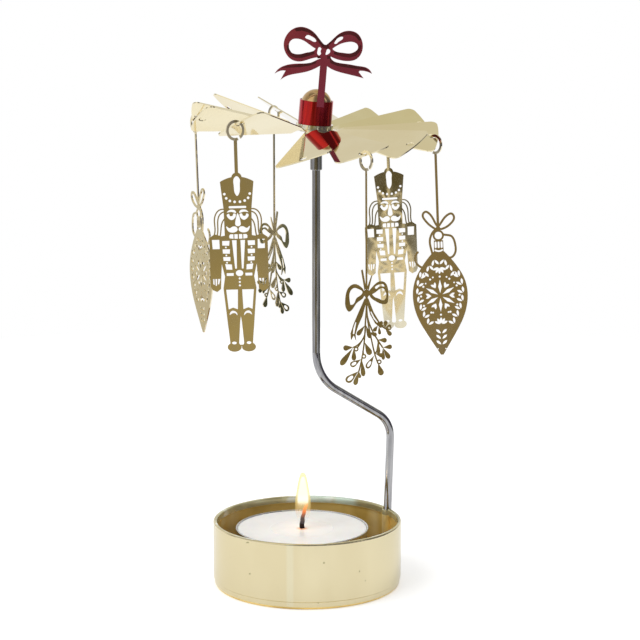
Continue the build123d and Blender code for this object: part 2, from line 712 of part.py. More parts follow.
def mistletoe_sheet(height):
    """The whole mistletoe sprig, its lowest leaf on the sketch's origin line."""
    unit = height / whole_share
    with BuildSketch() as figure:
        add(round_face(mistletoe_left_loop_shares, height))
        add(round_face(mistletoe_right_loop_shares, height))
        for window in mistletoe_loop_window_shares:
            add(round_face(window, height), mode=Mode.SUBTRACT)
        ovals([mistletoe_knot_share], height, mode=Mode.ADD)
        for spike in mistletoe_spike_shares:
            add(polygon_face(spike, height))
        for tail in mistletoe_tail_shares:
            add(polygon_face(tail, height))
        for window in mistletoe_tail_window_shares:
            add(polygon_face(window, height), mode=Mode.SUBTRACT)
        for twig in mistletoe_twig_shares:
            add(strip_face(twig, height, mistletoe_twig_width_share))
        for leaf in mistletoe_leaf_shares:
            add(leaf_face(leaf, height))
        for leaf in mistletoe_hollow_leaf_shares:
            add(leaf_face(leaf, height, True))
        for berry in mistletoe_berry_shares:
            with Locations(sized([berry], height)[0]):
                Circle(mistletoe_berry_radius_share * unit)
        for berry in mistletoe_berry_shares:
            with Locations(sized([berry], height)[0]):
                Circle(mistletoe_berry_hole_share * unit, mode=Mode.SUBTRACT)
    return figure.sketch


# Bauble: a pointed glass-bauble shape with a plain snowflake and garlands of petals cut through it
bauble_side_shares = [(3.6, 71), (7.6, 66.6), (12.2, 60.4), (16.7, 52), (18.5, 43), (18, 35), (15.8, 27),
                      (11.4, 18), (5.8, 8.6), (0.9, 0.5)]
bauble_cap_shares = [(-3.3, 70), (-3.1, 78.6), (3.1, 78.6), (3.3, 70)]
bauble_cap_slot_shares = [(-2, 75.6), (0, 75.6), (2, 75.6)]
bauble_cap_slot_size_share = (1.35, 4.4)
bauble_cap_seam_shares = [(-2.7, 72.2), (0, 71.3), (2.7, 72.2)]
bauble_cap_seam_width_share = 1.1
bauble_ring_share = (0, 81.9)
bauble_ring_outer_share = 3.8
bauble_ring_inner_share = 2.5
bauble_string_shares = [
    [(-0.1, 87.8), (-3, 93), (-5.3, 96.6), (-8.2, 98.2), (-9.9, 96.4), (-8.6, 92.6), (-5.2, 88.8), (-1.6, 86.2)],
    [(0.1, 87.8), (3.2, 92), (6.2, 95.2), (9.5, 96.2), (10.9, 94), (8.7, 89.7), (5.2, 87.2), (1.6, 86)],
    [(-1, 86.6), (-4.6, 82.6), (-5.8, 78.6), (-5.3, 73.6), (-4.4, 69.6)],
    [(1, 85), (3.6, 82.4), (8.4, 81.3), (11.2, 75.2), (10.8, 69.4), (8.4, 66.8), (6, 67)],
    [(-10.8, 60.4), (-14.6, 62.8), (-16.2, 66.8), (-15.2, 70), (-13.6, 71.3)],
]
bauble_string_width_share = 1.45
bauble_knot_share = (0, 86.4, 1.7, 1.7)
snowflake_centre_share = (0, 41)
snowflake_arm_count = 6
snowflake_arm_shares = [(1.7, 0), (6.2, 1.2), (11, 0), (6.2, -1.2)]
snowflake_barb_shares = (5.2, 2.1)
snowflake_barb_angle = 60
snowflake_dot_count = 12
snowflake_dot_ring_share = 13
snowflake_dot_share = 0.7
petal_shares = [(0.6, 0), (2, 0.72), (3.6, 0.8), (4.9, 0), (3.6, -0.8), (2, -0.72)]
side_garland_shares = [(13.4, 53), (15.2, 47.6), (15.8, 42), (15.3, 36.4), (13.8, 31), (11.8, 26), (9.2, 21.2)]
side_petal_angles = [98, 152]
low_garland_shares = [(0, 7.2), (0, 11), (0, 14.8)]
low_petal_angles = [42, 138]
spray_shares = [(0, 21.4), (0, 60.6)]
spray_angles = [[26, 58, 90, 122, 154], [206, 238, 270, 302, 334]]
crown_garland_shares = [(3.6, 66), (7.2, 62.2), (10.6, 57.8)]
crown_petal_angles = [228, 284]
bauble_bead_shares = [(4.6, 53.6, 0.6), (9.6, 49.6, 0.55), (5.2, 29.6, 0.6), (2.7, 4.6, 0.45)]


def petals(places, angles, height, side=1):
    """Cuts slim petals, fanned from each place by the given angles."""
    petal = polygon_face(petal_shares, height)
    for place in places:
        for angle in angles:
            turned = angle if side > 0 else half_turn - angle
            x, y = sized([(side * place[0], place[1])], height)[0]
            with Locations(Location((x, y, 0), (0, 0, turned))):
                add(petal, mode=Mode.SUBTRACT)


def snowflake(height):
    """Cuts the six-armed snowflake, its barbs and the ring of dots round it."""
    unit = height / whole_share
    arm = polygon_face(snowflake_arm_shares, height)
    barb = polygon_face(petal_shares, height)
    barb_x, barb_y = sized([snowflake_barb_shares], height)[0]
    with BuildSketch() as branch:
        add(arm)
        for side in (-1, 1):
            with Locations(Location((barb_x, side * barb_y, 0), (0, 0, side * snowflake_barb_angle))):
                add(barb)
    with Locations(sized([snowflake_centre_share], height)[0]):
        with PolarLocations(0, snowflake_arm_count, start_angle=quarter_turn):
            add(branch.sketch, mode=Mode.SUBTRACT)
        with PolarLocations(snowflake_dot_ring_share * unit, snowflake_dot_count):
            Circle(snowflake_dot_share * unit, mode=Mode.SUBTRACT)


def bauble_sheet(height):
    """The whole bauble with its cap, string and bow, its tip on the sketch's origin."""
    unit = height / whole_share
    left_side = mirrored(bauble_side_shares)[::-1]
    with BuildSketch() as figure:
        add(run_face(
            [
                bauble_side_shares,
                [bauble_side_shares[-1], left_side[0]],
                left_side,
                [left_side[-1], bauble_side_shares[0]],
            ],
            height,
        ))
        add(polygon_face(bauble_cap_shares, height))
        with Locations(sized([bauble_ring_share], height)[0]):
            Circle(bauble_ring_outer_share * unit)
        for string in bauble_string_shares:
            add(strip_face(string, height, bauble_string_width_share))
        ovals([bauble_knot_share], height, mode=Mode.ADD)
        with Locations(sized([bauble_ring_share], height)[0]):
            Circle(bauble_ring_inner_share * unit, mode=Mode.SUBTRACT)
        with Locations(*sized(bauble_cap_slot_shares, height)):
            SlotOverall(
                bauble_cap_slot_size_share[1] * unit,
                bauble_cap_slot_size_share[0] * unit,
                rotation=quarter_turn,
                mode=Mode.SUBTRACT,
            )
        add(strip_face(bauble_cap_seam_shares, height, bauble_cap_seam_width_share), mode=Mode.SUBTRACT)
        snowflake(height)
        for side in (-1, 1):
            petals(side_garland_shares, side_petal_angles, height, side)
            petals(crown_garland_shares, crown_petal_angles, height, side)
            beads(bauble_bead_shares, height, side)
        petals(low_garland_shares, low_petal_angles, height)
        for place, angles in zip(spray_shares, spray_angles):
            petals([place], angles, height)
    return figure.sketch


ring_inner_radius = ring_outer_radius - ring_width


def ring_centre(index, ring_direction):
    """Where a pendant's ring hangs, with the sheet's edge lying on the ring's inner side."""
    blade_plane = Plane(blade_place(index))
    hole = blade_plane.from_local_coords((hook_hole_reach, 0, 0))
    ring_normal = ring_direction.cross(Vector(0, 0, 1))
    along_edge = blade_plane.z_dir.cross(ring_normal).normalized()
    edge_reach = hook_hole_inset / along_edge.dot(blade_plane.x_dir)
    bridge_half = (edge_reach - hook_hole_radius) / 2
    bridge_middle = hole + along_edge * (hook_hole_radius + bridge_half)
    upward = ring_normal.cross(along_edge)
    free_radius = ring_inner_radius - ring_clearance
    drop = math.sqrt(free_radius**2 - bridge_half**2) - rotor_sheet / 2
    return bridge_middle + along_edge * ring_outward_shift - upward * drop


# Pendants: name, blade, ring direction, gap in the ring, figure direction, lean, figure set
nutcracker_figure = nutcracker_sheet(nutcracker_height)
mistletoe_figure = mistletoe_sheet(mistletoe_height)
bauble_figure = bauble_sheet(bauble_height)
nutcracker_set = (
    nutcracker_figure, nutcracker_height, nutcracker_drop, nutcracker_stem, nutcracker_stem_share,
)
mistletoe_set = (
    mistletoe_figure, mistletoe_height, mistletoe_drop, mistletoe_stem, mistletoe_stem_share,
)
bauble_set = (
    bauble_figure, bauble_height, bauble_drop, bauble_stem, bauble_stem_share,
)
pendant_list = [
    ("nutcracker_front", 7, 212, ring_gap_left, 0, 1.4, nutcracker_set),
    ("mistletoe_front", 9, 308, ring_gap_right, -6, 0.4, mistletoe_set),
    ("bauble_right", 11, -52, ring_gap_left, 0, 2.5, bauble_set),
    ("nutcracker_rear", 1, 45, ring_gap_right, 10, 2.5, nutcracker_set),
    ("mistletoe_rear", 3, 128, ring_gap_right, 222, 0.0, mistletoe_set),
    ("bauble_left", 5, 122, ring_gap_right, 118, -4.4, bauble_set),
]
pendants = []

for name, blade_index, ring_angle, gap_angle, figure_angle, lean, figure_set in pendant_list:
    figure, height, drop, stem_width, stem_end_share = figure_set
    ring_direction = Vector(1, 0, 0).rotate(Axis.Z, ring_angle)
    centre = ring_centre(blade_index, ring_direction)
    ring_plane = Plane(
        origin=centre,
        x_dir=ring_direction,
        z_dir=ring_direction.cross(Vector(0, 0, 1)),
    )
    figure_direction = Vector(1, 0, 0).rotate(Axis.Z, figure_angle)
    figure_normal = figure_direction.cross(Vector(0, 0, 1))
    hang_plane = Plane(
        origin=centre,
        x_dir=figure_direction.rotate(Axis((0, 0, 0), figure_normal), lean),
        z_dir=figure_normal,
    )
    toe_plane = Plane(
        origin=hang_plane.from_local_coords((0, -drop - height, 0)),
        x_dir=hang_plane.x_dir,
        z_dir=hang_plane.z_dir,
    )
    stem_start = height + drop - ring_inner_radius - ring_width / 4
    stem_length = stem_start - height * stem_end_share / whole_share
    with BuildPart() as pendant:
        with BuildSketch(toe_plane.offset(-pendant_sheet / 2)):
            add(figure)
            with Locations((0, stem_start - stem_length / 2)):
                Rectangle(stem_width, stem_length)
        extrude(amount=pendant_sheet)
        with BuildSketch(ring_plane.offset(-pendant_sheet / 2)):
            Circle(ring_outer_radius)
            Circle(ring_inner_radius, mode=Mode.SUBTRACT)
            with PolarLocations(ring_inner_radius + ring_width / 2, 1, start_angle=gap_angle):
                Rectangle(2 * ring_width, ring_gap, mode=Mode.SUBTRACT)
        extrude(amount=pendant_sheet)
    pendant.part.label = name
    pendants.append(pendant.part)

# Tealight: an aluminium can, its wax, and the wick in its clip
candle_place = Pos(candle_shift_x, candle_shift_y, cup_sheet)
candle_plane = Plane(candle_place)
candle_profile = Plane(origin=candle_plane.origin, x_dir=(1, 0, 0), z_dir=(0, -1, 0))
candle_axis = Axis(candle_plane.origin, (0, 0, 1))
can_top_radius = candle_diameter / 2 - candle_lip_width
can_foot_radius = can_top_radius - candle_taper
wax_top = candle_height - wax_drop
wax_bottom = candle_wall + wax_clearance

with BuildPart() as tealight_can:
    with BuildSketch(candle_profile):
        with BuildLine():
            Polyline(
                (0, 0),
                (can_foot_radius, 0),
                (can_top_radius, candle_height - candle_wall),
                (candle_diameter / 2, candle_height - candle_wall),
                (candle_diameter / 2, candle_height),
                (can_top_radius - candle_wall, candle_height),
                (can_foot_radius - candle_wall, candle_wall),
                (0, candle_wall),
                close=True,
            )
        make_face()
    revolve(axis=candle_axis)

with BuildPart() as wick_clip:
    with BuildSketch(candle_plane.offset(wax_bottom)):
        Circle(wick_plate_radius)
    extrude(amount=wick_plate_thickness)
    with BuildSketch(candle_plane.offset(wax_bottom + wick_plate_thickness)):
        Circle(wick_collar_radius)
    extrude(amount=wick_collar_height)
    with BuildSketch(candle_plane.offset(wax_bottom + wick_plate_thickness)):
        Circle(wick_radius + wick_fit)
    extrude(amount=wick_collar_height, mode=Mode.SUBTRACT)

with BuildPart() as tealight_wick:
    with BuildLine():
        wick_run = Line(
            candle_plane.from_local_coords((0, 0, wax_bottom + wick_plate_thickness + wick_fit)),
            candle_plane.from_local_coords((0, 0, wax_top + wick_bend_start)),
        )
        Spline(
            wick_run @ 1,
            candle_plane.from_local_coords((wick_lean, 0, wax_top + wick_height)),
            tangents=((0, 0, 1), (wick_tip_lean, 0, 1)),
        )
    with BuildSketch(Plane(origin=wick_run @ 0)):
        Circle(wick_radius)
    sweep()

with BuildPart() as tealight_wax:
    with BuildSketch(candle_profile):
        with BuildLine():
            Polyline(
                (0, wax_bottom),
                (can_foot_radius - candle_wall - wax_clearance, wax_bottom),
                (can_top_radius - candle_wall - wax_clearance, wax_top),
                (0, wax_top),
                close=True,
            )
        make_face()
    revolve(axis=candle_axis)
    with BuildSketch(candle_plane):
        Circle(wick_plate_radius + wick_fit)
    extrude(amount=wax_bottom + wick_plate_thickness + wick_fit, mode=Mode.SUBTRACT)
    with BuildSketch(candle_plane):
        Circle(wick_collar_radius + wick_fit)
    extrude(
        amount=wax_bottom + wick_plate_thickness + wick_collar_height + wick_fit,
        mode=Mode.SUBTRACT,
    )
    with BuildSketch(candle_plane):
        Circle(wick_radius + wick_fit)
    extrude(amount=candle_height, mode=Mode.SUBTRACT)

# Names and files
base_cup.part.label = "base_cup"
post_rod.part.label = "post_rod"
needle_sleeve.part.label = "needle_sleeve"
pivot_needle.part.label = "pivot_needle"
bearing_seat.part.label = "bearing_seat"
hub_cap.part.label = "hub_cap"
hub_washer.part.label = "hub_washer"
rotor_blades.part.label = "rotor_blades"
topper_band.part.label = "topper_band"
topper_bow.part.label = "topper_bow"
tealight_can.part.label = "tealight_can"
tealight_wax.part.label = "tealight_wax"
tealight_wick.part.label = "tealight_wick"
wick_clip.part.label = "wick_clip"
pieces = [
    base_cup.part,
    post_rod.part,
    needle_sleeve.part,
    pivot_needle.part,
    bearing_seat.part,
    hub_cap.part,
    hub_washer.part,
    rotor_blades.part,
    topper_band.part,
    topper_bow.part,
    tealight_can.part,
    tealight_wax.part,
    tealight_wick.part,
    wick_clip.part,
]

for piece in pieces + pendants:
    export_step(piece, f"parts/{piece.label}.step")
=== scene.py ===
import math

import bmesh
import bpy
from mathutils import Matrix, Vector


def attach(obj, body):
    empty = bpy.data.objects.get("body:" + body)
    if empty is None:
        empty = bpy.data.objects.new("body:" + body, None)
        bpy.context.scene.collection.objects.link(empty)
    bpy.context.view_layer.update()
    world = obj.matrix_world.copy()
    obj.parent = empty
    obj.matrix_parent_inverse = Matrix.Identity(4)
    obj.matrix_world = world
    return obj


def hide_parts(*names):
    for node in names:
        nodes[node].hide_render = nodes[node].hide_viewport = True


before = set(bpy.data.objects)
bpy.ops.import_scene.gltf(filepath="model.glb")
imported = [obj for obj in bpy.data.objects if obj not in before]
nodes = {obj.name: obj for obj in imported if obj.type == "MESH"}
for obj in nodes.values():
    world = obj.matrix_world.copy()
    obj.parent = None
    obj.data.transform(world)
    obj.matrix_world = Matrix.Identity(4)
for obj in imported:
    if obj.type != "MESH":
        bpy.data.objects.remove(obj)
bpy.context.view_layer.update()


# Candle cup: one deep-drawn sheet with a hemmed rim, a stepped foot and a pressed pocket for the post.
# It is plated in pale gold outside and in a deeper satin gold inside, and its rolled hem is polished.
# At the back, small glints are painted into its colour: warm painted reflections inside and pale green
# painted reflections in the hem, and a pale painted highlight runs down its front.

def new_finish(name, colour, metallic, roughness, more=None):
    """A material with a plain shader; more names further sockets of it."""
    finish = bpy.data.materials.new(name)
    finish.use_nodes = True
    sockets = {"Base Color": (*colour, 1.0), "Metallic": metallic, "Roughness": roughness, **(more or {})}
    for socket, value in sockets.items():
        main_shader(finish).inputs[socket].default_value = value
    return finish


def main_shader(finish):
    """The shader that a finish's own detail is joined to."""
    return finish.node_tree.nodes["Principled BSDF"]


def add_node(finish, kind, **values):
    """A node with its plain settings and the values of its sockets."""
    node = finish.node_tree.nodes.new(kind)
    for key, value in values.items():
        if key in node.inputs:
            node.inputs[key].default_value = value
        else:
            setattr(node, key, value)
    return node


def join_nodes(finish, *pairs):
    """Links sockets two by two: from a node's output to a node's input."""
    for source, output, target, socket in pairs:
        finish.node_tree.links.new(source.outputs[output], target.inputs[socket])


def math_node(finish, operation, second=None):
    """A node that works out one value; its second number may be a fixed one."""
    node = add_node(finish, "ShaderNodeMath", operation=operation)
    if second is not None:
        node.inputs[1].default_value = second
    return node


def range_node(finish, from_low, from_high, to_low=0.0, to_high=1.0, smooth=False):
    """A node that maps one range of a value to another."""
    node = add_node(finish, "ShaderNodeMapRange")
    if smooth:
        node.interpolation_type = "SMOOTHSTEP"
    node.inputs["From Min"].default_value = from_low
    node.inputs["From Max"].default_value = from_high
    node.inputs["To Min"].default_value = to_low
    node.inputs["To Max"].default_value = to_high
    return node


def ramp_node(finish, stops):
    """A colour ramp with its (position, colour) stops."""
    node = add_node(finish, "ShaderNodeValToRGB")
    ramp = node.color_ramp
    while len(ramp.elements) > 1:
        ramp.elements.remove(ramp.elements[-1])
    ramp.elements[0].position = stops[0][0]
    ramp.elements[0].color = (*stops[0][1], 1.0)
    for position, colour in stops[1:]:
        element = ramp.elements.new(position)
        element.color = (*colour, 1.0)
    return node


def colour_mix(finish, over=None):
    """A node that lays a second colour over a first one; the second may be a fixed one."""
    node = add_node(finish, "ShaderNodeMix")
    node.data_type = "RGBA"
    if over:
        node.inputs["B"].default_value = (*over, 1.0)
    return node


def noise_node(finish, grain=1.0, **values):
    """Cloudy values on the piece's own metres; a grain under 1 draws them out upwards."""
    place = add_node(finish, "ShaderNodeTexCoord")
    stretch = add_node(finish, "ShaderNodeMapping", Scale=(1.0, 1.0, grain))
    cloud = add_node(finish, "ShaderNodeTexNoise", **values)
    join_nodes(finish, (place, "Object", stretch, "Vector"), (stretch, "Vector", cloud, "Vector"))
    return cloud


def split_node(finish, place="Object"):
    """The X, Y and Z of a point of the piece, or of a direction in a world."""
    source = add_node(finish, "ShaderNodeTexCoord")
    split = add_node(finish, "ShaderNodeSeparateXYZ")
    join_nodes(finish, (source, place, split, "Vector"))
    return split


def reach_node(finish, centre):
    """How far a point is from the upright axis through a centre, in metres."""
    place = add_node(finish, "ShaderNodeTexCoord")
    centred = add_node(
        finish, "ShaderNodeMapping", Location=(-centre[0], -centre[1], 0.0), Scale=(1.0, 1.0, 0.0)
    )
    reach = add_node(finish, "ShaderNodeVectorMath", operation="LENGTH")
    join_nodes(finish, (place, "Object", centred, "Vector"), (centred, "Vector", reach, 0))
    return reach


def compass(degrees):
    """A direction seen from above as a share of the full turn: 0 is the front, 90 is the right."""
    return (degrees + 180.0) / 360.0


def compass_node(finish, split):
    """The direction of a point from the middle, in the shares that compass gives."""
    front = math_node(finish, "MULTIPLY", -1.0)
    turn = math_node(finish, "ARCTAN2")
    share = range_node(finish, -math.pi, math.pi)
    join_nodes(
        finish,
        (split, "X", turn, 0),
        (split, "Y", front, 0),
        (front, "Value", turn, 1),
        (turn, "Value", share, "Value"),
    )
    return share


def grey(level):
    """A colour without a tint."""
    return (level, level, level)


def mottle(finish, scale, pale, deep, grain=1.0, low=0.4, high=0.62):
    """Colour that drifts between two close tones, as handled plating does."""
    cloud = noise_node(finish, grain, Scale=scale, Detail=5.0, Roughness=0.55)
    tones = ramp_node(finish, [(low, deep), (high, pale)])
    join_nodes(finish, (cloud, "Fac", tones, "Fac"), (tones, "Color", main_shader(finish), "Base Color"))
    return tones


def worn_gloss(finish, scale, smooth, rough, grain=1.0):
    """Roughness that changes where fingers and the polishing wheel went."""
    smear = noise_node(finish, grain, Scale=scale, Detail=4.0, Roughness=0.6)
    limits = range_node(finish, from_low=0.35, from_high=0.7, to_low=smooth, to_high=rough)
    join_nodes(finish, (smear, "Fac", limits, "Value"), (limits, "Result", main_shader(finish), "Roughness"))
    return limits


def surface_waves(finish, scale, strength, depth, grain=1.0):
    """Shallow unevenness of the sheet, seen only in what it mirrors."""
    wave = noise_node(finish, grain, Scale=scale, Detail=3.0, Roughness=0.5)
    bump = add_node(finish, "ShaderNodeBump", Strength=strength, Distance=depth)
    join_nodes(finish, (wave, "Fac", bump, "Height"), (bump, "Normal", main_shader(finish), "Normal"))


def put_finish(node_names, finish):
    """Puts one finish on the material slots of the named pieces."""
    for name in node_names:
        for slot in nodes[name].material_slots:
            slot.material = finish


cup_gold_pale = (0.775, 0.69, 0.455)
cup_gold_deep = (0.735, 0.645, 0.41)
cup_plating = new_finish("cup_plating", cup_gold_pale, metallic=1.0, roughness=0.16)
cup_shader = main_shader(cup_plating)
cup_tones = mottle(cup_plating, scale=60.0, pale=cup_gold_pale, deep=cup_gold_deep, grain=0.35)
cup_gloss = worn_gloss(cup_plating, scale=90.0, smooth=0.10, rough=0.20, grain=0.2)
surface_waves(cup_plating, scale=45.0, strength=0.25, depth=0.0004, grain=0.25)
cup_split = split_node(cup_plating)
cup_round = compass_node(cup_plating, cup_split)

# A pale streak down the front is a painted highlight: a paler gold laid into the wall's colour round one
# direction.
cup_painted_highlight_gold = (0.79, 0.765, 0.60)
cup_highlight_middle = compass(-9.74)
cup_highlight_half = 2.865 / 360.0
cup_highlight_core = 0.4 * cup_highlight_half
cup_highlight_level = 0.36
cup_beside = math_node(cup_plating, "SUBTRACT", cup_highlight_middle)
cup_off = math_node(cup_plating, "ABSOLUTE")
cup_highlight_mask = range_node(cup_plating, cup_highlight_core, cup_highlight_half, cup_highlight_level, 0.0, smooth=True)
cup_with_painted_highlight = colour_mix(cup_plating, over=cup_painted_highlight_gold)
join_nodes(
    cup_plating,
    (cup_round, "Result", cup_beside, 0),
    (cup_beside, "Value", cup_off, 0),
    (cup_off, "Value", cup_highlight_mask, "Value"),
    (cup_highlight_mask, "Result", cup_with_painted_highlight, "Factor"),
    (cup_tones, "Color", cup_with_painted_highlight, "A"),
)

cup_speck_tone = (0.42, 0.37, 0.20)
cup_dust = noise_node(cup_plating, Scale=520.0, Detail=1.0)
cup_speck = range_node(cup_plating, from_low=0.755, from_high=0.775)
cup_with_specks = colour_mix(cup_plating, over=cup_speck_tone)
join_nodes(
    cup_plating,
    (cup_dust, "Fac", cup_speck, "Value"),
    (cup_speck, "Result", cup_with_specks, "Factor"),
    (cup_with_painted_highlight, "Result", cup_with_specks, "A"),
)

cup_axis = (0.0, 0.0)
cup_wall_inside = 0.02672
cup_wall_blend = 0.00012
cup_inside_gold = (0.96, 0.72, 0.24)
cup_inside_shade = (0.74, 0.52, 0.14)
cup_inside_painted_glint = (1.0, 0.84, 0.44)
cup_inside_metal = 0.55
cup_inside_roughness = 0.42
cup_reach = reach_node(cup_plating, cup_axis)
cup_inside = range_node(cup_plating, cup_wall_inside - cup_wall_blend, cup_wall_inside, 1.0, 0.0)
cup_ripple = noise_node(cup_plating, Scale=85.0, Detail=2.0)
# Inside, the tones drift at random, and their brightest patches are painted glints.
cup_inside_tones = ramp_node(
    cup_plating,
    [
        (0.36, cup_inside_shade),
        (0.50, cup_inside_gold),
        (0.60, cup_inside_gold),
        (0.68, cup_inside_painted_glint),
    ],
)
# At the back of the inside, warm glints are painted into the colour at set directions: painted reflections.
cup_inside_painted_spots = ramp_node(
    cup_plating,
    [
        (compass(-131.4), grey(0.0)),
        (compass(-123.1), grey(0.9)),
        (compass(-113.4), grey(0.0)),
        (compass(113.4), grey(0.0)),
        (compass(118.1), grey(0.9)),
        (compass(122.4), grey(0.1)),
        (compass(126.0), grey(0.1)),
        (compass(131.0), grey(0.8)),
        (compass(138.6), grey(0.0)),
    ],
)
cup_inside_with_painted_glints = colour_mix(cup_plating, over=cup_inside_painted_glint)
cup_with_inside = colour_mix(cup_plating)
cup_metal = range_node(cup_plating, 0.0, 1.0, 1.0, cup_inside_metal)
cup_satin = add_node(cup_plating, "ShaderNodeMix")
cup_satin.inputs["B"].default_value = cup_inside_roughness
join_nodes(
    cup_plating,
    (cup_reach, "Value", cup_inside, "Value"),
    (cup_ripple, "Fac", cup_inside_tones, "Fac"),
    (cup_round, "Result", cup_inside_painted_spots, "Fac"),
    (cup_inside_painted_spots, "Color", cup_inside_with_painted_glints, "Factor"),
    (cup_inside_tones, "Color", cup_inside_with_painted_glints, "A"),
    (cup_inside, "Result", cup_with_inside, "Factor"),
    (cup_with_specks, "Result", cup_with_inside, "A"),
    (cup_inside_with_painted_glints, "Result", cup_with_inside, "B"),
    (cup_inside, "Result", cup_metal, "Value"),
    (cup_metal, "Result", cup_shader, "Metallic"),
    (cup_inside, "Result", cup_satin, "Factor"),
    (cup_gloss, "Result", cup_satin, "A"),
)

cup_hem_start = 0.0168
cup_hem_end = 0.0170
cup_hem_gold = (0.66, 0.62, 0.38)
cup_hem_shade = (0.48, 0.43, 0.23)
cup_hem_painted_glint = (0.94, 0.97, 0.88)
cup_hem_painted_green = (0.78, 0.96, 0.86)
cup_hem_roughness = 0.16
cup_above = range_node(cup_plating, cup_hem_start, cup_hem_end)
cup_hem = math_node(cup_plating, "MULTIPLY")
# The hem's tones drift at random between a darker and a paler gold, and their brightest patches are painted
# glints.
cup_hem_tones = ramp_node(
    cup_plating,
    [
        (0.40, cup_hem_shade),
        (0.50, cup_hem_gold),
        (0.56, cup_hem_gold),
        (0.62, cup_hem_painted_glint),
    ],
)
# At the back of the hem, pale green glints are painted into the colour at set directions: painted
# reflections.
cup_hem_painted_spots = ramp_node(
    cup_plating,
    [
        (compass(-180), grey(0.7)),
        (compass(-172.8), grey(0.0)),
        (compass(144), grey(0.0)),
        (compass(149.4), grey(0.8)),
        (compass(160.2), grey(0.9)),
        (compass(163.8), grey(0.2)),
        (compass(169.2), grey(0.8)),
        (compass(180), grey(0.7)),
    ],
)
cup_hem_with_painted_glints = colour_mix(cup_plating, over=cup_hem_painted_green)
cup_with_hem = colour_mix(cup_plating)
cup_polish = add_node(cup_plating, "ShaderNodeMix")
cup_polish.inputs["B"].default_value = cup_hem_roughness
join_nodes(
    cup_plating,
    (cup_split, "Z", cup_above, "Value"),
    (cup_inside, "Result", cup_hem, 0),
    (cup_above, "Result", cup_hem, 1),
    (cup_ripple, "Fac", cup_hem_tones, "Fac"),
    (cup_round, "Result", cup_hem_painted_spots, "Fac"),
    (cup_hem_painted_spots, "Color", cup_hem_with_painted_glints, "Factor"),
    (cup_hem_tones, "Color", cup_hem_with_painted_glints, "A"),
    (cup_hem, "Value", cup_with_hem, "Factor"),
    (cup_with_inside, "Result", cup_with_hem, "A"),
    (cup_hem_with_painted_glints, "Result", cup_with_hem, "B"),
    (cup_with_hem, "Result", cup_shader, "Base Color"),
    (cup_hem, "Value", cup_polish, "Factor"),
    (cup_satin, "Result", cup_polish, "A"),
    (cup_polish, "Result", cup_shader, "Roughness"),
)
put_finish(["base_cup"], cup_plating)


# Post and sleeve: one bent steel wire and a short crimped tube, both bright chromed.
# Drawing marks run along the wire, so the grain is stretched upwards.

chrome_bright = (0.47, 0.47, 0.48)
chrome_deep = (0.33, 0.33, 0.35)
post_chrome = new_finish("post_chrome", chrome_bright, metallic=1.0, roughness=0.08)
mottle(post_chrome, scale=900.0, pale=chrome_bright, deep=chrome_deep, grain=0.1)
worn_gloss(post_chrome, scale=1200.0, smooth=0.05, rough=0.14, grain=0.08)
surface_waves(post_chrome, scale=700.0, strength=0.12, depth=0.0001, grain=0.1)
put_finish(["post_rod", "needle_sleeve"], post_chrome)


# Needle and bearing seat: hardened steel, ground and left bare.
# They hide inside the hub and show only when the rotor is lifted off.

steel_pale = (0.60, 0.61, 0.63)
steel_deep = (0.48, 0.49, 0.52)
needle_steel = new_finish("needle_steel", steel_pale, metallic=1.0, roughness=0.25)
mottle(needle_steel, scale=1500.0, pale=steel_pale, deep=steel_deep, grain=3.0)
worn_gloss(needle_steel, scale=2000.0, smooth=0.18, rough=0.34, grain=6.0)
put_finish(["pivot_needle", "bearing_seat"], needle_steel)


# Hub cap and washer: turned brass, buffed on the lathe, clamping the blade sheet between them.
# The dome stands out of the red band in a deep warm gold, and the flange under the band is painted paler, a
# painted highlight.

brass_pale = (0.64, 0.44, 0.23)
brass_deep = (0.55, 0.35, 0.155)
flange_painted_sheen = (0.84, 0.80, 0.64)
flange_top = 0.1325
neck_foot = 0.1335
hub_brass = new_finish("hub_brass", brass_pale, metallic=1.0, roughness=0.14)
hub_tones = mottle(hub_brass, scale=350.0, pale=brass_pale, deep=brass_deep, grain=2.0)
hub_split = split_node(hub_brass)
# Below the band the flange gets a paler gold: a painted highlight.
hub_flange_sheen = range_node(hub_brass, flange_top, neck_foot, 1.0, 0.0)
hub_with_flange_sheen = colour_mix(hub_brass, over=flange_painted_sheen)
join_nodes(
    hub_brass,
    (hub_split, "Z", hub_flange_sheen, "Value"),
    (hub_flange_sheen, "Result", hub_with_flange_sheen, "Factor"),
    (hub_tones, "Color", hub_with_flange_sheen, "A"),
    (hub_with_flange_sheen, "Result", main_shader(hub_brass), "Base Color"),
)
worn_gloss(hub_brass, scale=500.0, smooth=0.05, rough=0.12, grain=4.0)
surface_waves(hub_brass, scale=600.0, strength=0.15, depth=0.0001, grain=6.0)
put_finish(["hub_cap", "hub_washer"], hub_brass)


# Rotor blades: one thin etched sheet, mirror bright on both sides, its blades twisted by hand.
# The sheet isn't quite flat, so the band and the rings show in it a little bent.

blade_gold_pale = (0.86, 0.775, 0.54)
blade_gold_deep = (0.83, 0.735, 0.49)
blade_mirror = new_finish("blade_mirror", blade_gold_pale, metallic=1.0, roughness=0.04)
mottle(blade_mirror, scale=70.0, pale=blade_gold_pale, deep=blade_gold_deep)
worn_gloss(blade_mirror, scale=160.0, smooth=0.02, rough=0.07)
surface_waves(blade_mirror, scale=60.0, strength=0.12, depth=0.0002)
put_finish(["rotor_blades"], blade_mirror)


# Topper: a rolled band and a flat bow, cut from steel sheet and coated in clear red lacquer.
# The metal shines through the lacquer, so it goes from bright red to nearly black with what it mirrors.
# The bow has a second clear coat, and its folds are drawn on the front in a darker lacquer.

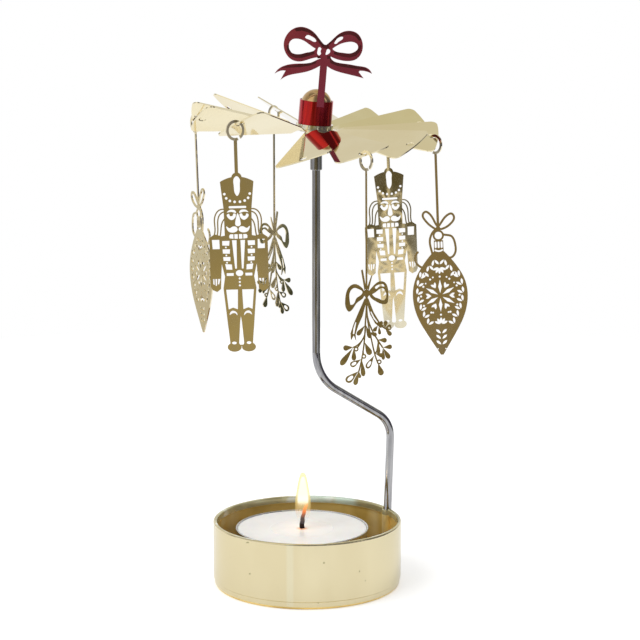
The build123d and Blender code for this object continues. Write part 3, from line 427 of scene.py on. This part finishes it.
lacquer_bright = (0.55, 0.028, 0.027)
lacquer_deep = (0.43, 0.028, 0.042)
red_lacquer = new_finish("red_lacquer", lacquer_bright, metallic=1.0, roughness=0.12)
mottle(red_lacquer, scale=180.0, pale=lacquer_bright, deep=lacquer_deep, grain=0.5)
worn_gloss(red_lacquer, scale=260.0, smooth=0.10, rough=0.18, grain=0.5)
surface_waves(red_lacquer, scale=140.0, strength=0.08, depth=0.0002, grain=0.5)
put_finish(["topper_band"], red_lacquer)

crimson_bright = (0.53, 0.066, 0.15)
crimson_deep = (0.47, 0.05, 0.125)
crimson_coat = {"Coat Weight": 1.0, "Coat Roughness": 0.12}
crimson_lacquer = new_finish(
    "crimson_lacquer", crimson_bright, metallic=1.0, roughness=0.10, more=crimson_coat
)
mottle(crimson_lacquer, scale=150.0, pale=crimson_bright, deep=crimson_deep)
worn_gloss(crimson_lacquer, scale=260.0, smooth=0.08, rough=0.14)
put_finish(["topper_bow"], crimson_lacquer)

fold_tone = (0.21, 0.018, 0.045)
fold_shade = (0.13, 0.011, 0.028)
fold_coat = {"Coat Weight": 1.0, "Coat Roughness": 0.15}
fold_dark = new_finish("fold_dark", fold_tone, metallic=1.0, roughness=0.16, more=fold_coat)
mottle(fold_dark, scale=300.0, pale=fold_tone, deep=fold_shade)

bow_height = 0.02145
bow_sheet = 0.00035
fold_depth = 0.00002
rotor_pivot = (0.0026, 0.0012, 0.137)
rotor_lean_front = math.radians(4.5)
rotor_lean_right = math.radians(4.7)
bow_offset = (0.0011, -0.0047, 0.000195)
bow_place = (
    Matrix.Translation(rotor_pivot)
    @ Matrix.Rotation(rotor_lean_front, 4, "X")
    @ Matrix.Rotation(rotor_lean_right, 4, "Y")
    @ Matrix.Translation(bow_offset)
    @ Matrix.Rotation(math.radians(90.0), 4, "X")
)

# The outlines of the folds are in hundredths of the bow's height, from the foot of its stem.
bow_share = bow_height / 100.0
upper_left_fold = [
    (-41, 97.2), (-31, 99.6), (-22, 97.5), (-14, 92.5), (-7.5, 85.5), (-1, 79.2),
    (-4, 77), (-11, 84.8), (-16.5, 90), (-23, 93.6), (-31, 95.2), (-38.5, 93.6),
]
lower_left_fold = [
    (-46.2, 76), (-45.7, 71.4), (-42.1, 66.2), (-36, 64.7), (-29, 65.7), (-21, 68.3), (-14, 71),
    (-12.5, 67.3), (-20, 64), (-28, 61), (-36, 60), (-43, 62), (-47.8, 67), (-49, 75),
]
upper_right_fold = [
    (1, 79.4), (8, 86.2), (15, 93.4), (23, 98.3), (31, 99.6), (39.5, 97.1), (45.2, 90.3),
    (42.6, 88.3), (37.5, 93.4), (31, 95.3), (24, 94.4), (16, 90.1), (10, 85), (3.5, 78),
]
lower_right_fold = [
    (44.2, 84), (42.4, 78.6), (38.7, 73.9), (31.5, 71), (22.5, 71.2), (12.5, 72.6),
    (11.5, 69), (22, 66.6), (32, 66.1), (40, 69), (44.8, 75), (46, 82),
]
left_tail_fold = [
    (-9, 59.2), (-15, 56), (-30, 52.8), (-47, 49.3), (-55, 45.2),
    (-50, 46.6), (-40, 47.6), (-29, 49), (-18, 51.8), (-10, 55.4),
]
right_tail_fold = [
    (7, 63.8), (11, 60.5), (16.5, 58.3), (30, 57.2), (44, 56), (53.5, 55), (61.5, 48.8),
    (54, 52), (45, 52.6), (30, 53.2), (17, 54.4), (8, 57.4),
]
knot_fold = [(-5, 77.8), (-1, 80), (4, 79.6), (6, 77), (3, 74.8), (-2, 75.4)]
knot_left_fold = [(-9.4, 64.8), (-6, 65.2), (-4, 62.5), (-8.5, 61.8)]
knot_right_fold = [(3.4, 66.2), (8, 66.4), (8.4, 63.4), (4, 61.8)]
fold_outlines = [
    upper_left_fold,
    lower_left_fold,
    upper_right_fold,
    lower_right_fold,
    left_tail_fold,
    right_tail_fold,
    knot_fold,
    knot_left_fold,
    knot_right_fold,
]
fold_shape = bmesh.new()
for outline in fold_outlines:
    corners = [fold_shape.verts.new((x * bow_share, y * bow_share, bow_sheet)) for x, y in outline]
    patch = fold_shape.faces.new(corners)
    grown = bmesh.ops.extrude_face_region(fold_shape, geom=[patch])["geom"]
    raised = [part for part in grown if isinstance(part, bmesh.types.BMVert)]
    bmesh.ops.translate(fold_shape, verts=raised, vec=(0.0, 0.0, fold_depth))
bmesh.ops.recalc_face_normals(fold_shape, faces=fold_shape.faces)
bmesh.ops.transform(fold_shape, matrix=bow_place, verts=fold_shape.verts)
bow_folds_mesh = bpy.data.meshes.new("bow_folds")
fold_shape.to_mesh(bow_folds_mesh)
fold_shape.free()
bow_folds = bpy.data.objects.new("bow_folds", bow_folds_mesh)
bpy.context.scene.collection.objects.link(bow_folds)
bow_folds_mesh.materials.append(fold_dark)
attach(bow_folds, "topper")


# Hanging figures: nutcrackers, mistletoe sprigs and baubles, etched from one bright brass sheet.
# Their faces stand upright and mirror the dim room in front, darker and warmer than the blades.
# The sheet of the two sprigs is less flat than the others', so what they mirror is more broken.

figure_gold_pale = (0.86, 0.775, 0.565)
figure_gold_deep = (0.84, 0.745, 0.53)


def figure_finish(name, wave_scale, wave_strength, wave_depth):
    """The bright brass of the figures, each kind of them with its own unevenness."""
    mirror = new_finish(name, figure_gold_pale, metallic=1.0, roughness=0.07)
    mottle(mirror, scale=90.0, pale=figure_gold_pale, deep=figure_gold_deep, grain=0.6)
    worn_gloss(mirror, scale=200.0, smooth=0.05, rough=0.12, grain=0.6)
    surface_waves(mirror, wave_scale, wave_strength, wave_depth)
    return mirror


figure_mirror = figure_finish("figure_mirror", wave_scale=55.0, wave_strength=0.05, wave_depth=0.0002)
sprig_mirror = figure_finish("sprig_mirror", wave_scale=130.0, wave_strength=0.3, wave_depth=0.0004)
put_finish(["nutcracker_front", "nutcracker_rear", "bauble_right", "bauble_left"], figure_mirror)
put_finish(["mistletoe_front", "mistletoe_rear"], sprig_mirror)


# Tealight: a thin pressed aluminium can with a rolled lip and pressed flutes, and its wax.
# The wax is melted round the wick, where it shines, and round the wick's foot the flame's orange glow is
# painted into its colour; it creeps up a little at the wall.

weld_distance = 1e-7


def from_profile(name, points, centre, steps):
    """A closed piece turned round an upright axis from (radius, height) points in metres."""
    shape = bmesh.new()
    ring = [shape.verts.new((centre[0] + radius, centre[1], centre[2] + height)) for radius, height in points]
    edges = [shape.edges.new(pair) for pair in zip(ring, ring[1:])]
    bmesh.ops.spin(
        shape,
        geom=ring + edges,
        cent=centre,
        axis=(0.0, 0.0, 1.0),
        angle=2 * math.pi,
        steps=steps,
        use_merge=True,
    )
    bmesh.ops.remove_doubles(shape, verts=shape.verts, dist=weld_distance)
    bmesh.ops.recalc_face_normals(shape, faces=shape.faces)
    return smooth_piece(name, shape)


def smooth_piece(name, shape):
    """Turns a bmesh into a smooth-shaded piece of the scene."""
    mesh = bpy.data.meshes.new(name)
    for face in shape.faces:
        face.smooth = True
    shape.to_mesh(mesh)
    shape.free()
    piece = bpy.data.objects.new(name, mesh)
    bpy.context.scene.collection.objects.link(piece)
    return piece


candle_centre = (-0.0015, 0.0010, 0.0005)
candle_x, candle_y, candle_foot = candle_centre
can_steps = 192
can_profile = [
    (0.0, 0.0),
    (0.0179, 0.0),
    (0.0184, 0.0003),
    (0.01855, 0.0008),
    (0.01893, 0.01515),
    (0.01905, 0.01528),
    (0.01916, 0.01535),
    (0.0192, 0.01548),
    (0.01914, 0.01562),
    (0.019, 0.0157),
    (0.01882, 0.0157),
    (0.01866, 0.01562),
    (0.01861, 0.0154),
    (0.01820, 0.0009),
    (0.0179, 0.0004),
    (0.0, 0.0004),
]
can = from_profile("can", can_profile, candle_centre, can_steps)

flute_count = 48
flute_depth = 0.00007
flute_low = 0.002
flute_high = 0.0125
flute_fade = 0.002
flute_inside = 0.0183
for vertex in can.data.vertices:
    across = vertex.co - Vector(candle_centre)
    reach = across.xy.length
    if reach < flute_inside:
        continue
    above = max((across.z - flute_low) / flute_fade, 0.0)
    below = max((flute_high - across.z) / flute_fade, 0.0)
    pressed = min(above, below, 1.0)
    wave = flute_depth * pressed * (math.cos(flute_count * math.atan2(across.y, across.x)) - 1.0)
    vertex.co.x += across.x / reach * wave
    vertex.co.y += across.y / reach * wave

can_pale = (0.74, 0.74, 0.76)
can_deep = (0.62, 0.62, 0.64)
can_metal = new_finish("can_metal", can_pale, metallic=1.0, roughness=0.3)
mottle(can_metal, scale=200.0, pale=can_pale, deep=can_deep, grain=0.3)
worn_gloss(can_metal, scale=300.0, smooth=0.22, rough=0.38, grain=0.2)
put_finish(["wick_clip"], can_metal)
can.data.materials.append(can_metal)
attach(can, "tealight")
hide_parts("tealight_can")

wax_steps = 160
wax_profile = [
    (0.0, 0.00045),
    (0.0175, 0.00045),
    (0.0181, 0.0010),
    (0.01856, 0.01528),
    (0.01850, 0.01540),
    (0.0183, 0.01535),
    (0.0179, 0.01530),
    (0.0165, 0.01529),
    (0.0140, 0.01527),
    (0.0115, 0.01524),
    (0.0090, 0.01520),
    (0.0060, 0.01515),
    (0.0030, 0.01512),
    (0.0014, 0.01514),
    (0.0008, 0.01525),
    (0.0, 0.01530),
]
wax = from_profile("wax", wax_profile, candle_centre, wax_steps)

wax_tone = (0.92, 0.915, 0.90)
wax_shade = (0.87, 0.86, 0.845)
wax_depth = {"Subsurface Weight": 0.35, "Subsurface Radius": (0.004, 0.003, 0.002)}
wax_white = new_finish("wax_white", wax_tone, metallic=0.0, roughness=0.35, more=wax_depth)
wax_shader = main_shader(wax_white)
wax_tones = mottle(wax_white, scale=160.0, pale=wax_tone, deep=wax_shade, low=0.35, high=0.6)
surface_waves(wax_white, scale=260.0, strength=0.25, depth=0.0002)

melted_reach = 0.003
firm_reach = 0.014
melted_roughness = 0.12
firm_roughness = 0.38
# Round the wick's foot the wax's colour turns orange: a painted glow of the flame.
painted_glow_tone = (1.0, 0.42, 0.16)
painted_glow_level = 0.8
painted_glow_core = 0.0009
painted_glow_reach = 0.0021
wax_reach = reach_node(wax_white, candle_centre)
wax_pool = range_node(wax_white, melted_reach, firm_reach, melted_roughness, firm_roughness, smooth=True)
wax_painted_glow = range_node(wax_white, painted_glow_core, painted_glow_reach, painted_glow_level, 0.0, smooth=True)
wax_with_painted_glow = colour_mix(wax_white, over=painted_glow_tone)
join_nodes(
    wax_white,
    (wax_reach, "Value", wax_pool, "Value"),
    (wax_pool, "Result", wax_shader, "Roughness"),
    (wax_reach, "Value", wax_painted_glow, "Value"),
    (wax_painted_glow, "Result", wax_with_painted_glow, "Factor"),
    (wax_tones, "Color", wax_with_painted_glow, "A"),
    (wax_with_painted_glow, "Result", wax_shader, "Base Color"),
)
wax.data.materials.append(wax_white)
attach(wax, "tealight")
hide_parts("tealight_wax")


# Wick: braided cotton, charred black where it stands in the wax, glowing at its bent tip.
# Its strands wind round it and it gets thinner where it has burnt.

wick_foot = candle_foot + 0.0012
wick_straight_top = 0.0172
wick_top = candle_foot + 0.0226
wick_shift = 0.0014
wick_bend = 1.5
wick_rings = 44
wick_sides = 15
wick_girth = 0.00068
wick_burnt_off = 0.45
wick_strands = 3
wick_strand_depth = 0.14
wick_winding = 900.0 * math.pi
wick_shape = bmesh.new()
bmesh.ops.create_circle(wick_shape, cap_ends=True, segments=wick_sides, radius=wick_girth)
bmesh.ops.translate(wick_shape, verts=wick_shape.verts, vec=(candle_x, candle_y, wick_foot))
wick_face = wick_shape.faces[:][0]
wick_rise = (wick_top - wick_foot) / wick_rings
for step in range(1, wick_rings + 1):
    wick_face = bmesh.ops.extrude_discrete_faces(wick_shape, faces=[wick_face])["faces"][0]
    height = wick_foot + step * wick_rise
    burnt = max(height - wick_straight_top, 0.0) / (wick_top - wick_straight_top)
    middle = Vector((candle_x + wick_shift * burnt**wick_bend, candle_y, height))
    girth = wick_girth * (1.0 - wick_burnt_off * burnt)
    for number, vertex in enumerate(wick_face.verts):
        angle = 2 * math.pi * number / wick_sides
        strand = 1.0 + wick_strand_depth * math.cos(wick_strands * angle + wick_winding * height)
        vertex.co = middle + girth * strand * Vector((math.cos(angle), math.sin(angle), 0.0))
bmesh.ops.recalc_face_normals(wick_shape, faces=wick_shape.faces)
wick = smooth_piece("wick", wick_shape)

char_tone = (0.035, 0.02, 0.016)
char_shade = (0.008, 0.006, 0.006)
char_top = 0.0165
ember_glow = {"Emission Strength": 1.5, "Specular IOR Level": 0.1}
wick_char = new_finish("wick_char", char_tone, metallic=0.0, roughness=0.9, more=ember_glow)
mottle(wick_char, scale=1500.0, pale=char_tone, deep=char_shade)
wick_split = split_node(wick_char)
wick_share = range_node(wick_char, char_top, wick_top)
wick_ember = ramp_node(
    wick_char,
    [
        (0.0, grey(0.0)),
        (0.35, (0.01, 0.0, 0.0)),
        (0.50, (0.20, 0.02, 0.002)),
        (0.68, (0.75, 0.12, 0.01)),
        (0.90, (1.0, 0.24, 0.03)),
    ],
)
join_nodes(
    wick_char,
    (wick_split, "Z", wick_share, "Value"),
    (wick_share, "Result", wick_ember, "Fac"),
    (wick_ember, "Color", main_shader(wick_char), "Emission Color"),
)
wick.data.materials.append(wick_char)
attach(wick, "tealight")
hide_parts("tealight_wick")


# Flame: burning wax vapour, clear and bluish at the foot, yellow at the edge and nearly white inside.
# Three thin shells stand one in the other, and each lets through what is behind it.

flame_x = -0.00125
flame_foot = 0.0166
flame_height = 0.0156
flame_sides = 40
flame_outline = [
    (0.0, 0.0),
    (0.045, 0.45),
    (0.12, 0.72),
    (0.20, 0.88),
    (0.30, 0.98),
    (0.40, 1.0),
    (0.50, 0.96),
    (0.60, 0.86),
    (0.70, 0.74),
    (0.80, 0.62),
    (0.90, 0.47),
    (0.96, 0.33),
    (0.99, 0.18),
    (1.0, 0.0),
]


def flame_shell(name, radius, start, length, strength, tones, veil):
    """One shell of the flame; start and length are shares of its height, tones and veil go up it."""
    points = [(radius * width, flame_height * (start + length * share)) for share, width in flame_outline]
    shell = from_profile(name, points, (flame_x, candle_y, flame_foot), flame_sides)
    light = {"Specular IOR Level": 0.0, "Emission Strength": strength}
    glow = new_finish(name, grey(0.0), metallic=0.0, roughness=1.0, more=light)
    split = split_node(glow)
    share = range_node(glow, flame_foot, flame_foot + flame_height)
    colours = ramp_node(glow, tones)
    cover = ramp_node(glow, [(position, grey(level)) for position, level in veil])
    join_nodes(
        glow,
        (split, "Z", share, "Value"),
        (share, "Result", colours, "Fac"),
        (share, "Result", cover, "Fac"),
        (colours, "Color", main_shader(glow), "Emission Color"),
        (cover, "Color", main_shader(glow), "Alpha"),
    )
    shell.data.materials.append(glow)
    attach(shell, "tealight")


flame_shell(
    "flame_edge",
    radius=0.00225,
    start=0.0,
    length=1.0,
    strength=1.0,
    tones=[
        (0.0, (0.55, 0.58, 0.75)),
        (0.14, (0.80, 0.72, 0.66)),
        (0.28, (1.0, 0.66, 0.30)),
        (0.45, (1.0, 0.76, 0.26)),
        (0.7, (1.0, 0.88, 0.28)),
    ],
    veil=[(0.0, 0.05), (0.2, 0.12), (0.3, 0.22), (0.38, 0.26), (0.5, 0.42), (0.8, 0.48), (1.0, 0.4)],
)
flame_shell(
    "flame_middle",
    radius=0.00172,
    start=0.06,
    length=0.9,
    strength=1.1,
    tones=[
        (0.0, (1.0, 0.75, 0.5)),
        (0.3, (1.0, 0.80, 0.42)),
        (0.5, (1.0, 0.98, 0.90)),
        (1.0, (1.0, 0.97, 0.74)),
    ],
    veil=[(0.0, 0.0), (0.2, 0.01), (0.38, 0.05), (0.50, 0.5), (0.6, 0.7), (1.0, 0.5)],
)
flame_shell(
    "flame_heart",
    radius=0.00145,
    start=0.22,
    length=0.7,
    strength=2.4,
    tones=[(0.3, (1.0, 0.9, 0.62)), (0.5, (1.0, 1.0, 0.98))],
    veil=[(0.30, 0.0), (0.40, 0.03), (0.5, 0.6), (0.6, 0.94), (1.0, 0.85)],
)

flame_light_tone = (1.0, 0.62, 0.25)
flame_light_power = 0.0016
flame_light_radius = 0.002
flame_light_rise = 0.008
flame_light = bpy.data.objects.new("flame_light", bpy.data.lights.new("flame_light", "POINT"))
flame_light.data.color = flame_light_tone
flame_light.data.energy = flame_light_power
flame_light.data.shadow_soft_size = flame_light_radius
flame_light.location = (flame_x, candle_y, flame_foot + flame_light_rise)
bpy.context.scene.collection.objects.link(flame_light)


# Studio: a pale table, one large soft lamp, a camera at the photograph's angle and a plain white room.
# What shines mirrors the room's rows of tones, which go from the floor and the plinth up to the
# ceiling and the roof, with a bright window high on the left and a dim side behind the camera.

table_radius = 0.36
table_shift = 0.1
table_sides = 96
table_shape = bmesh.new()
bmesh.ops.create_circle(table_shape, cap_ends=True, segments=table_sides, radius=table_radius)
bmesh.ops.translate(table_shape, verts=table_shape.verts, vec=(0.0, table_shift, 0.0))
table_mesh = bpy.data.meshes.new("table")
table_shape.to_mesh(table_mesh)
table_shape.free()
table = bpy.data.objects.new("table", table_mesh)
bpy.context.scene.collection.objects.link(table)

table_tone = grey(0.8)
table_lift = 0.42
table_mirror_level = 0.6
table_dim_front = -0.13
table_lit_front = -0.09
table_white = bpy.data.materials.new("table_white")
table_white.use_nodes = True
table_white.node_tree.nodes.clear()
table_out = add_node(table_white, "ShaderNodeOutputMaterial")
table_diffuse = add_node(table_white, "ShaderNodeBsdfDiffuse", Color=(*table_tone, 1.0))
table_glow = add_node(table_white, "ShaderNodeEmission", Color=(1.0, 1.0, 1.0, 1.0))
table_sum = add_node(table_white, "ShaderNodeAddShader")
table_ray = add_node(table_white, "ShaderNodeLightPath")
table_split = split_node(table_white)
table_near = range_node(table_white, table_dim_front, table_lit_front, 0.0, table_mirror_level)
table_mirrored = math_node(table_white, "MULTIPLY")
table_seen = math_node(table_white, "MAXIMUM")
table_level = math_node(table_white, "MULTIPLY", table_lift)
join_nodes(
    table_white,
    (table_split, "Y", table_near, "Value"),
    (table_ray, "Is Glossy Ray", table_mirrored, 0),
    (table_near, "Result", table_mirrored, 1),
    (table_ray, "Is Camera Ray", table_seen, 0),
    (table_mirrored, "Value", table_seen, 1),
    (table_seen, "Value", table_level, 0),
    (table_level, "Value", table_glow, "Strength"),
    (table_diffuse, "BSDF", table_sum, 0),
    (table_glow, "Emission", table_sum, 1),
    (table_sum, "Shader", table_out, "Surface"),
)
table_mesh.materials.append(table_white)


def rise(height):
    """The upward part of a direction as a share: straight down is 0, level is a half."""
    return (height + 1.0) / 2.0


# A tone stands at its direction in degrees, and a band says how far its row shows at each height.
daylight = (0.97, 0.98, 1.0)
daylight_low = (0.97, 0.97, 1.0)
window_light = (1.0, 0.99, 0.95)
window_light_high = (1.0, 0.98, 0.92)
doorway_dark = (0.13, 0.14, 0.10)
doorway_dark_low = (0.05, 0.055, 0.035)
corner_dark = (0.09, 0.08, 0.11)
corner_dark_right = (0.10, 0.09, 0.12)
wall_tones = [
    (-180, daylight),
    (-155, daylight),
    (-148, grey(0.12)),
    (-140, grey(0.12)),
    (-134, (0.63, 0.61, 0.52)),
    (-120, (0.64, 0.62, 0.55)),
    (-112, grey(0.34)),
    (-90, (0.36, 0.33, 0.30)),
    (-70, grey(0.62)),
    (-45, grey(0.62)),
    (-24, (0.23, 0.19, 0.10)),
    (-14, (0.24, 0.19, 0.09)),
    (-7, (0.26, 0.20, 0.095)),
    (-2.5, (0.29, 0.235, 0.11)),
    (0.5, (0.27, 0.22, 0.13)),
    (4, (0.23, 0.17, 0.08)),
    (13, (0.12, 0.10, 0.05)),
    (25, (0.10, 0.083, 0.036)),
    (36, grey(0.12)),
    (50, grey(0.42)),
    (64, (0.46, 0.44, 0.38)),
    (69, grey(0.4)),
    (73, doorway_dark),
    (94, doorway_dark),
    (102, grey(0.4)),
    (125, grey(0.3)),
    (140, grey(0.3)),
    (152, daylight),
]
cornice_tones = [
    (-180, grey(0.9)),
    (-112, grey(0.95)),
    (-108, grey(0.3)),
    (-97, grey(0.3)),
    (-92, grey(0.98)),
    (-58, grey(0.9)),
    (-37, grey(0.6)),
    (-16, grey(0.25)),
    (5, grey(0.12)),
    (26, corner_dark),
    (130, corner_dark_right),
    (150, grey(0.85)),
]
skirting_tones = [
    (-180, daylight_low),
    (-155, daylight_low),
    (-148, grey(0.2)),
    (-140, grey(0.2)),
    (-134, (0.58, 0.54, 0.44)),
    (-120, (0.58, 0.54, 0.44)),
    (-100, grey(0.6)),
    (-58, grey(0.85)),
    (-37, grey(0.8)),
    (-24, (0.30, 0.24, 0.11)),
    (-14, (0.165, 0.125, 0.05)),
    (-8, (0.165, 0.125, 0.05)),
    (-4, (0.40, 0.325, 0.145)),
    (-1.2, (0.40, 0.325, 0.155)),
    (-0.3, (0.34, 0.30, 0.26)),
    (0.8, (0.33, 0.29, 0.25)),
    (2.4, (0.26, 0.195, 0.085)),
    (8, (0.25, 0.19, 0.085)),
    (16, (0.4, 0.38, 0.3)),
    (19, (0.93, 0.96, 1.0)),
    (27, (0.93, 0.96, 1.0)),
    (34, grey(0.5)),
    (60, grey(0.55)),
    (68, grey(0.3)),
    (73, doorway_dark_low),
    (94, doorway_dark_low),
    (104, grey(0.12)),
    (140, grey(0.12)),
    (152, daylight_low),
]
plinth_tones = [
    (-180, grey(0.5)),
    (-100, grey(0.8)),
    (-58, grey(0.75)),
    (-37, grey(0.55)),
    (-24, (0.27, 0.23, 0.13)),
    (-16, (0.18, 0.145, 0.065)),
    (-9, (0.27, 0.22, 0.10)),
    (-3, (0.30, 0.26, 0.20)),
    (0, (0.32, 0.29, 0.27)),
    (5, grey(0.13)),
    (26, corner_dark),
    (130, corner_dark_right),
    (150, grey(0.5)),
]
ceiling_tones = [
    (-180, (0.72, 0.69, 0.60)),
    (-165, (0.76, 0.74, 0.67)),
    (-140, grey(0.78)),
    (-118, grey(0.7)),
    (-98, grey(0.5)),
    (-82, grey(0.5)),
    (-72, window_light),
    (-36, window_light),
    (-14, grey(0.3)),
    (10, grey(0.2)),
    (30, grey(0.16)),
    (79, grey(0.16)),
    (82, grey(0.8)),
    (89, grey(0.8)),
    (93, grey(0.16)),
    (122, grey(0.2)),
    (134, (0.66, 0.64, 0.52)),
    (155, (0.66, 0.64, 0.49)),
    (180, (0.75, 0.74, 0.67)),
]
roof_tones = [
    (-180, (0.72, 0.69, 0.60)),
    (-165, (0.76, 0.74, 0.67)),
    (-150, grey(0.72)),
    (-125, grey(0.5)),
    (-98, grey(0.3)),
    (-80, grey(0.5)),
    (-72, window_light_high),
    (-36, window_light_high),
    (-22, grey(0.45)),
    (0, grey(0.24)),
    (18, grey(0.3)),
    (27, grey(0.8)),
    (44, grey(0.8)),
    (60, grey(0.3)),
    (115, grey(0.3)),
    (134, (0.66, 0.64, 0.52)),
    (155, (0.66, 0.64, 0.49)),
    (180, (0.72, 0.69, 0.60)),
]
floor_tones = [(0, grey(0.95))]
cornice_band = [(-0.060, 0.0), (-0.045, 1.0)]
skirting_band = [(-0.185, 0.0), (-0.179, 1.0), (-0.135, 1.0), (-0.122, 0.0)]
plinth_band = [(-0.188, 1.0), (-0.180, 0.0)]
ceiling_band = [(0.20, 0.0), (0.38, 1.0)]
roof_band = [(0.74, 0.0), (0.78, 1.0)]
floor_band = [(-0.30, 1.0), (-0.25, 0.0)]
rows_over_walls = [
    (cornice_tones, cornice_band),
    (skirting_tones, skirting_band),
    (plinth_tones, plinth_band),
    (ceiling_tones, ceiling_band),
    (roof_tones, roof_band),
    (floor_tones, floor_band),
]

room = bpy.data.worlds.new("room")
bpy.context.scene.world = room
room.use_nodes = True
room.node_tree.nodes.clear()
room_split = split_node(room, "Generated")
room_round = compass_node(room, room_split)
room_rise = range_node(room, -1.0, 1.0)
join_nodes(room, (room_split, "Z", room_rise, "Value"))


def room_row(tones):
    """One row of the room's tones, each at its direction in degrees."""
    row = ramp_node(room, [(compass(degrees), tone) for degrees, tone in tones])
    join_nodes(room, (room_round, "Result", row, "Fac"))
    return row


room_picture = room_row(wall_tones)
room_picture_output = "Color"
for tones, band in rows_over_walls:
    row = room_row(tones)
    where = ramp_node(room, [(rise(height), grey(level)) for height, level in band])
    laid = colour_mix(room)
    join_nodes(
        room,
        (room_rise, "Result", where, "Fac"),
        (where, "Color", laid, "Factor"),
        (room_picture, room_picture_output, laid, "A"),
        (row, "Color", laid, "B"),
    )
    room_picture = laid
    room_picture_output = "Result"

room_fill = grey(0.75)
room_white = grey(1.0)
room_ray = add_node(room, "ShaderNodeLightPath")
room_gloss = math_node(room, "MAXIMUM")
room_pick = colour_mix(room)
room_pick.inputs["A"].default_value = (*room_fill, 1.0)
room_backdrop = colour_mix(room, over=room_white)
room_light = add_node(room, "ShaderNodeBackground")
room_out = add_node(room, "ShaderNodeOutputWorld")
join_nodes(
    room,
    (room_ray, "Is Glossy Ray", room_gloss, 0),
    (room_ray, "Is Transmission Ray", room_gloss, 1),
    (room_gloss, "Value", room_pick, "Factor"),
    (room_picture, "Result", room_pick, "B"),
    (room_ray, "Is Camera Ray", room_backdrop, "Factor"),
    (room_pick, "Result", room_backdrop, "A"),
    (room_backdrop, "Result", room_light, "Color"),
    (room_light, "Background", room_out, "Surface"),
)

camera_sensor = 36.0
camera_lens = 102.64
camera_near = 0.01
camera_place = (0.003665, -0.51, 0.15721)
camera_pitch = 0.1566
camera = bpy.data.objects.new("camera", bpy.data.cameras.new("camera"))
camera.data.sensor_width = camera_sensor
camera.data.lens = camera_lens
camera.data.clip_start = camera_near
camera.location = camera_place
camera.rotation_euler = (math.pi / 2 - camera_pitch, 0.0, 0.0)
bpy.context.scene.collection.objects.link(camera)
bpy.context.scene.camera = camera

lamp_width = 0.6
lamp_depth = 0.4
lamp_power = 3.0
lamp_place = Vector((-0.45, -0.35, 0.75))
lamp_aim = Vector((0.0, 0.0, 0.08))
lamp = bpy.data.objects.new("lamp", bpy.data.lights.new("lamp", "AREA"))
lamp.data.shape = "RECTANGLE"
lamp.data.size = lamp_width
lamp.data.size_y = lamp_depth
lamp.data.energy = lamp_power
lamp.location = lamp_place
lamp.rotation_euler = (lamp_aim - lamp_place).to_track_quat("-Z", "Y").to_euler()
lamp.visible_glossy = False
bpy.context.scene.collection.objects.link(lamp)

bpy.context.scene.view_settings.view_transform = "Standard"
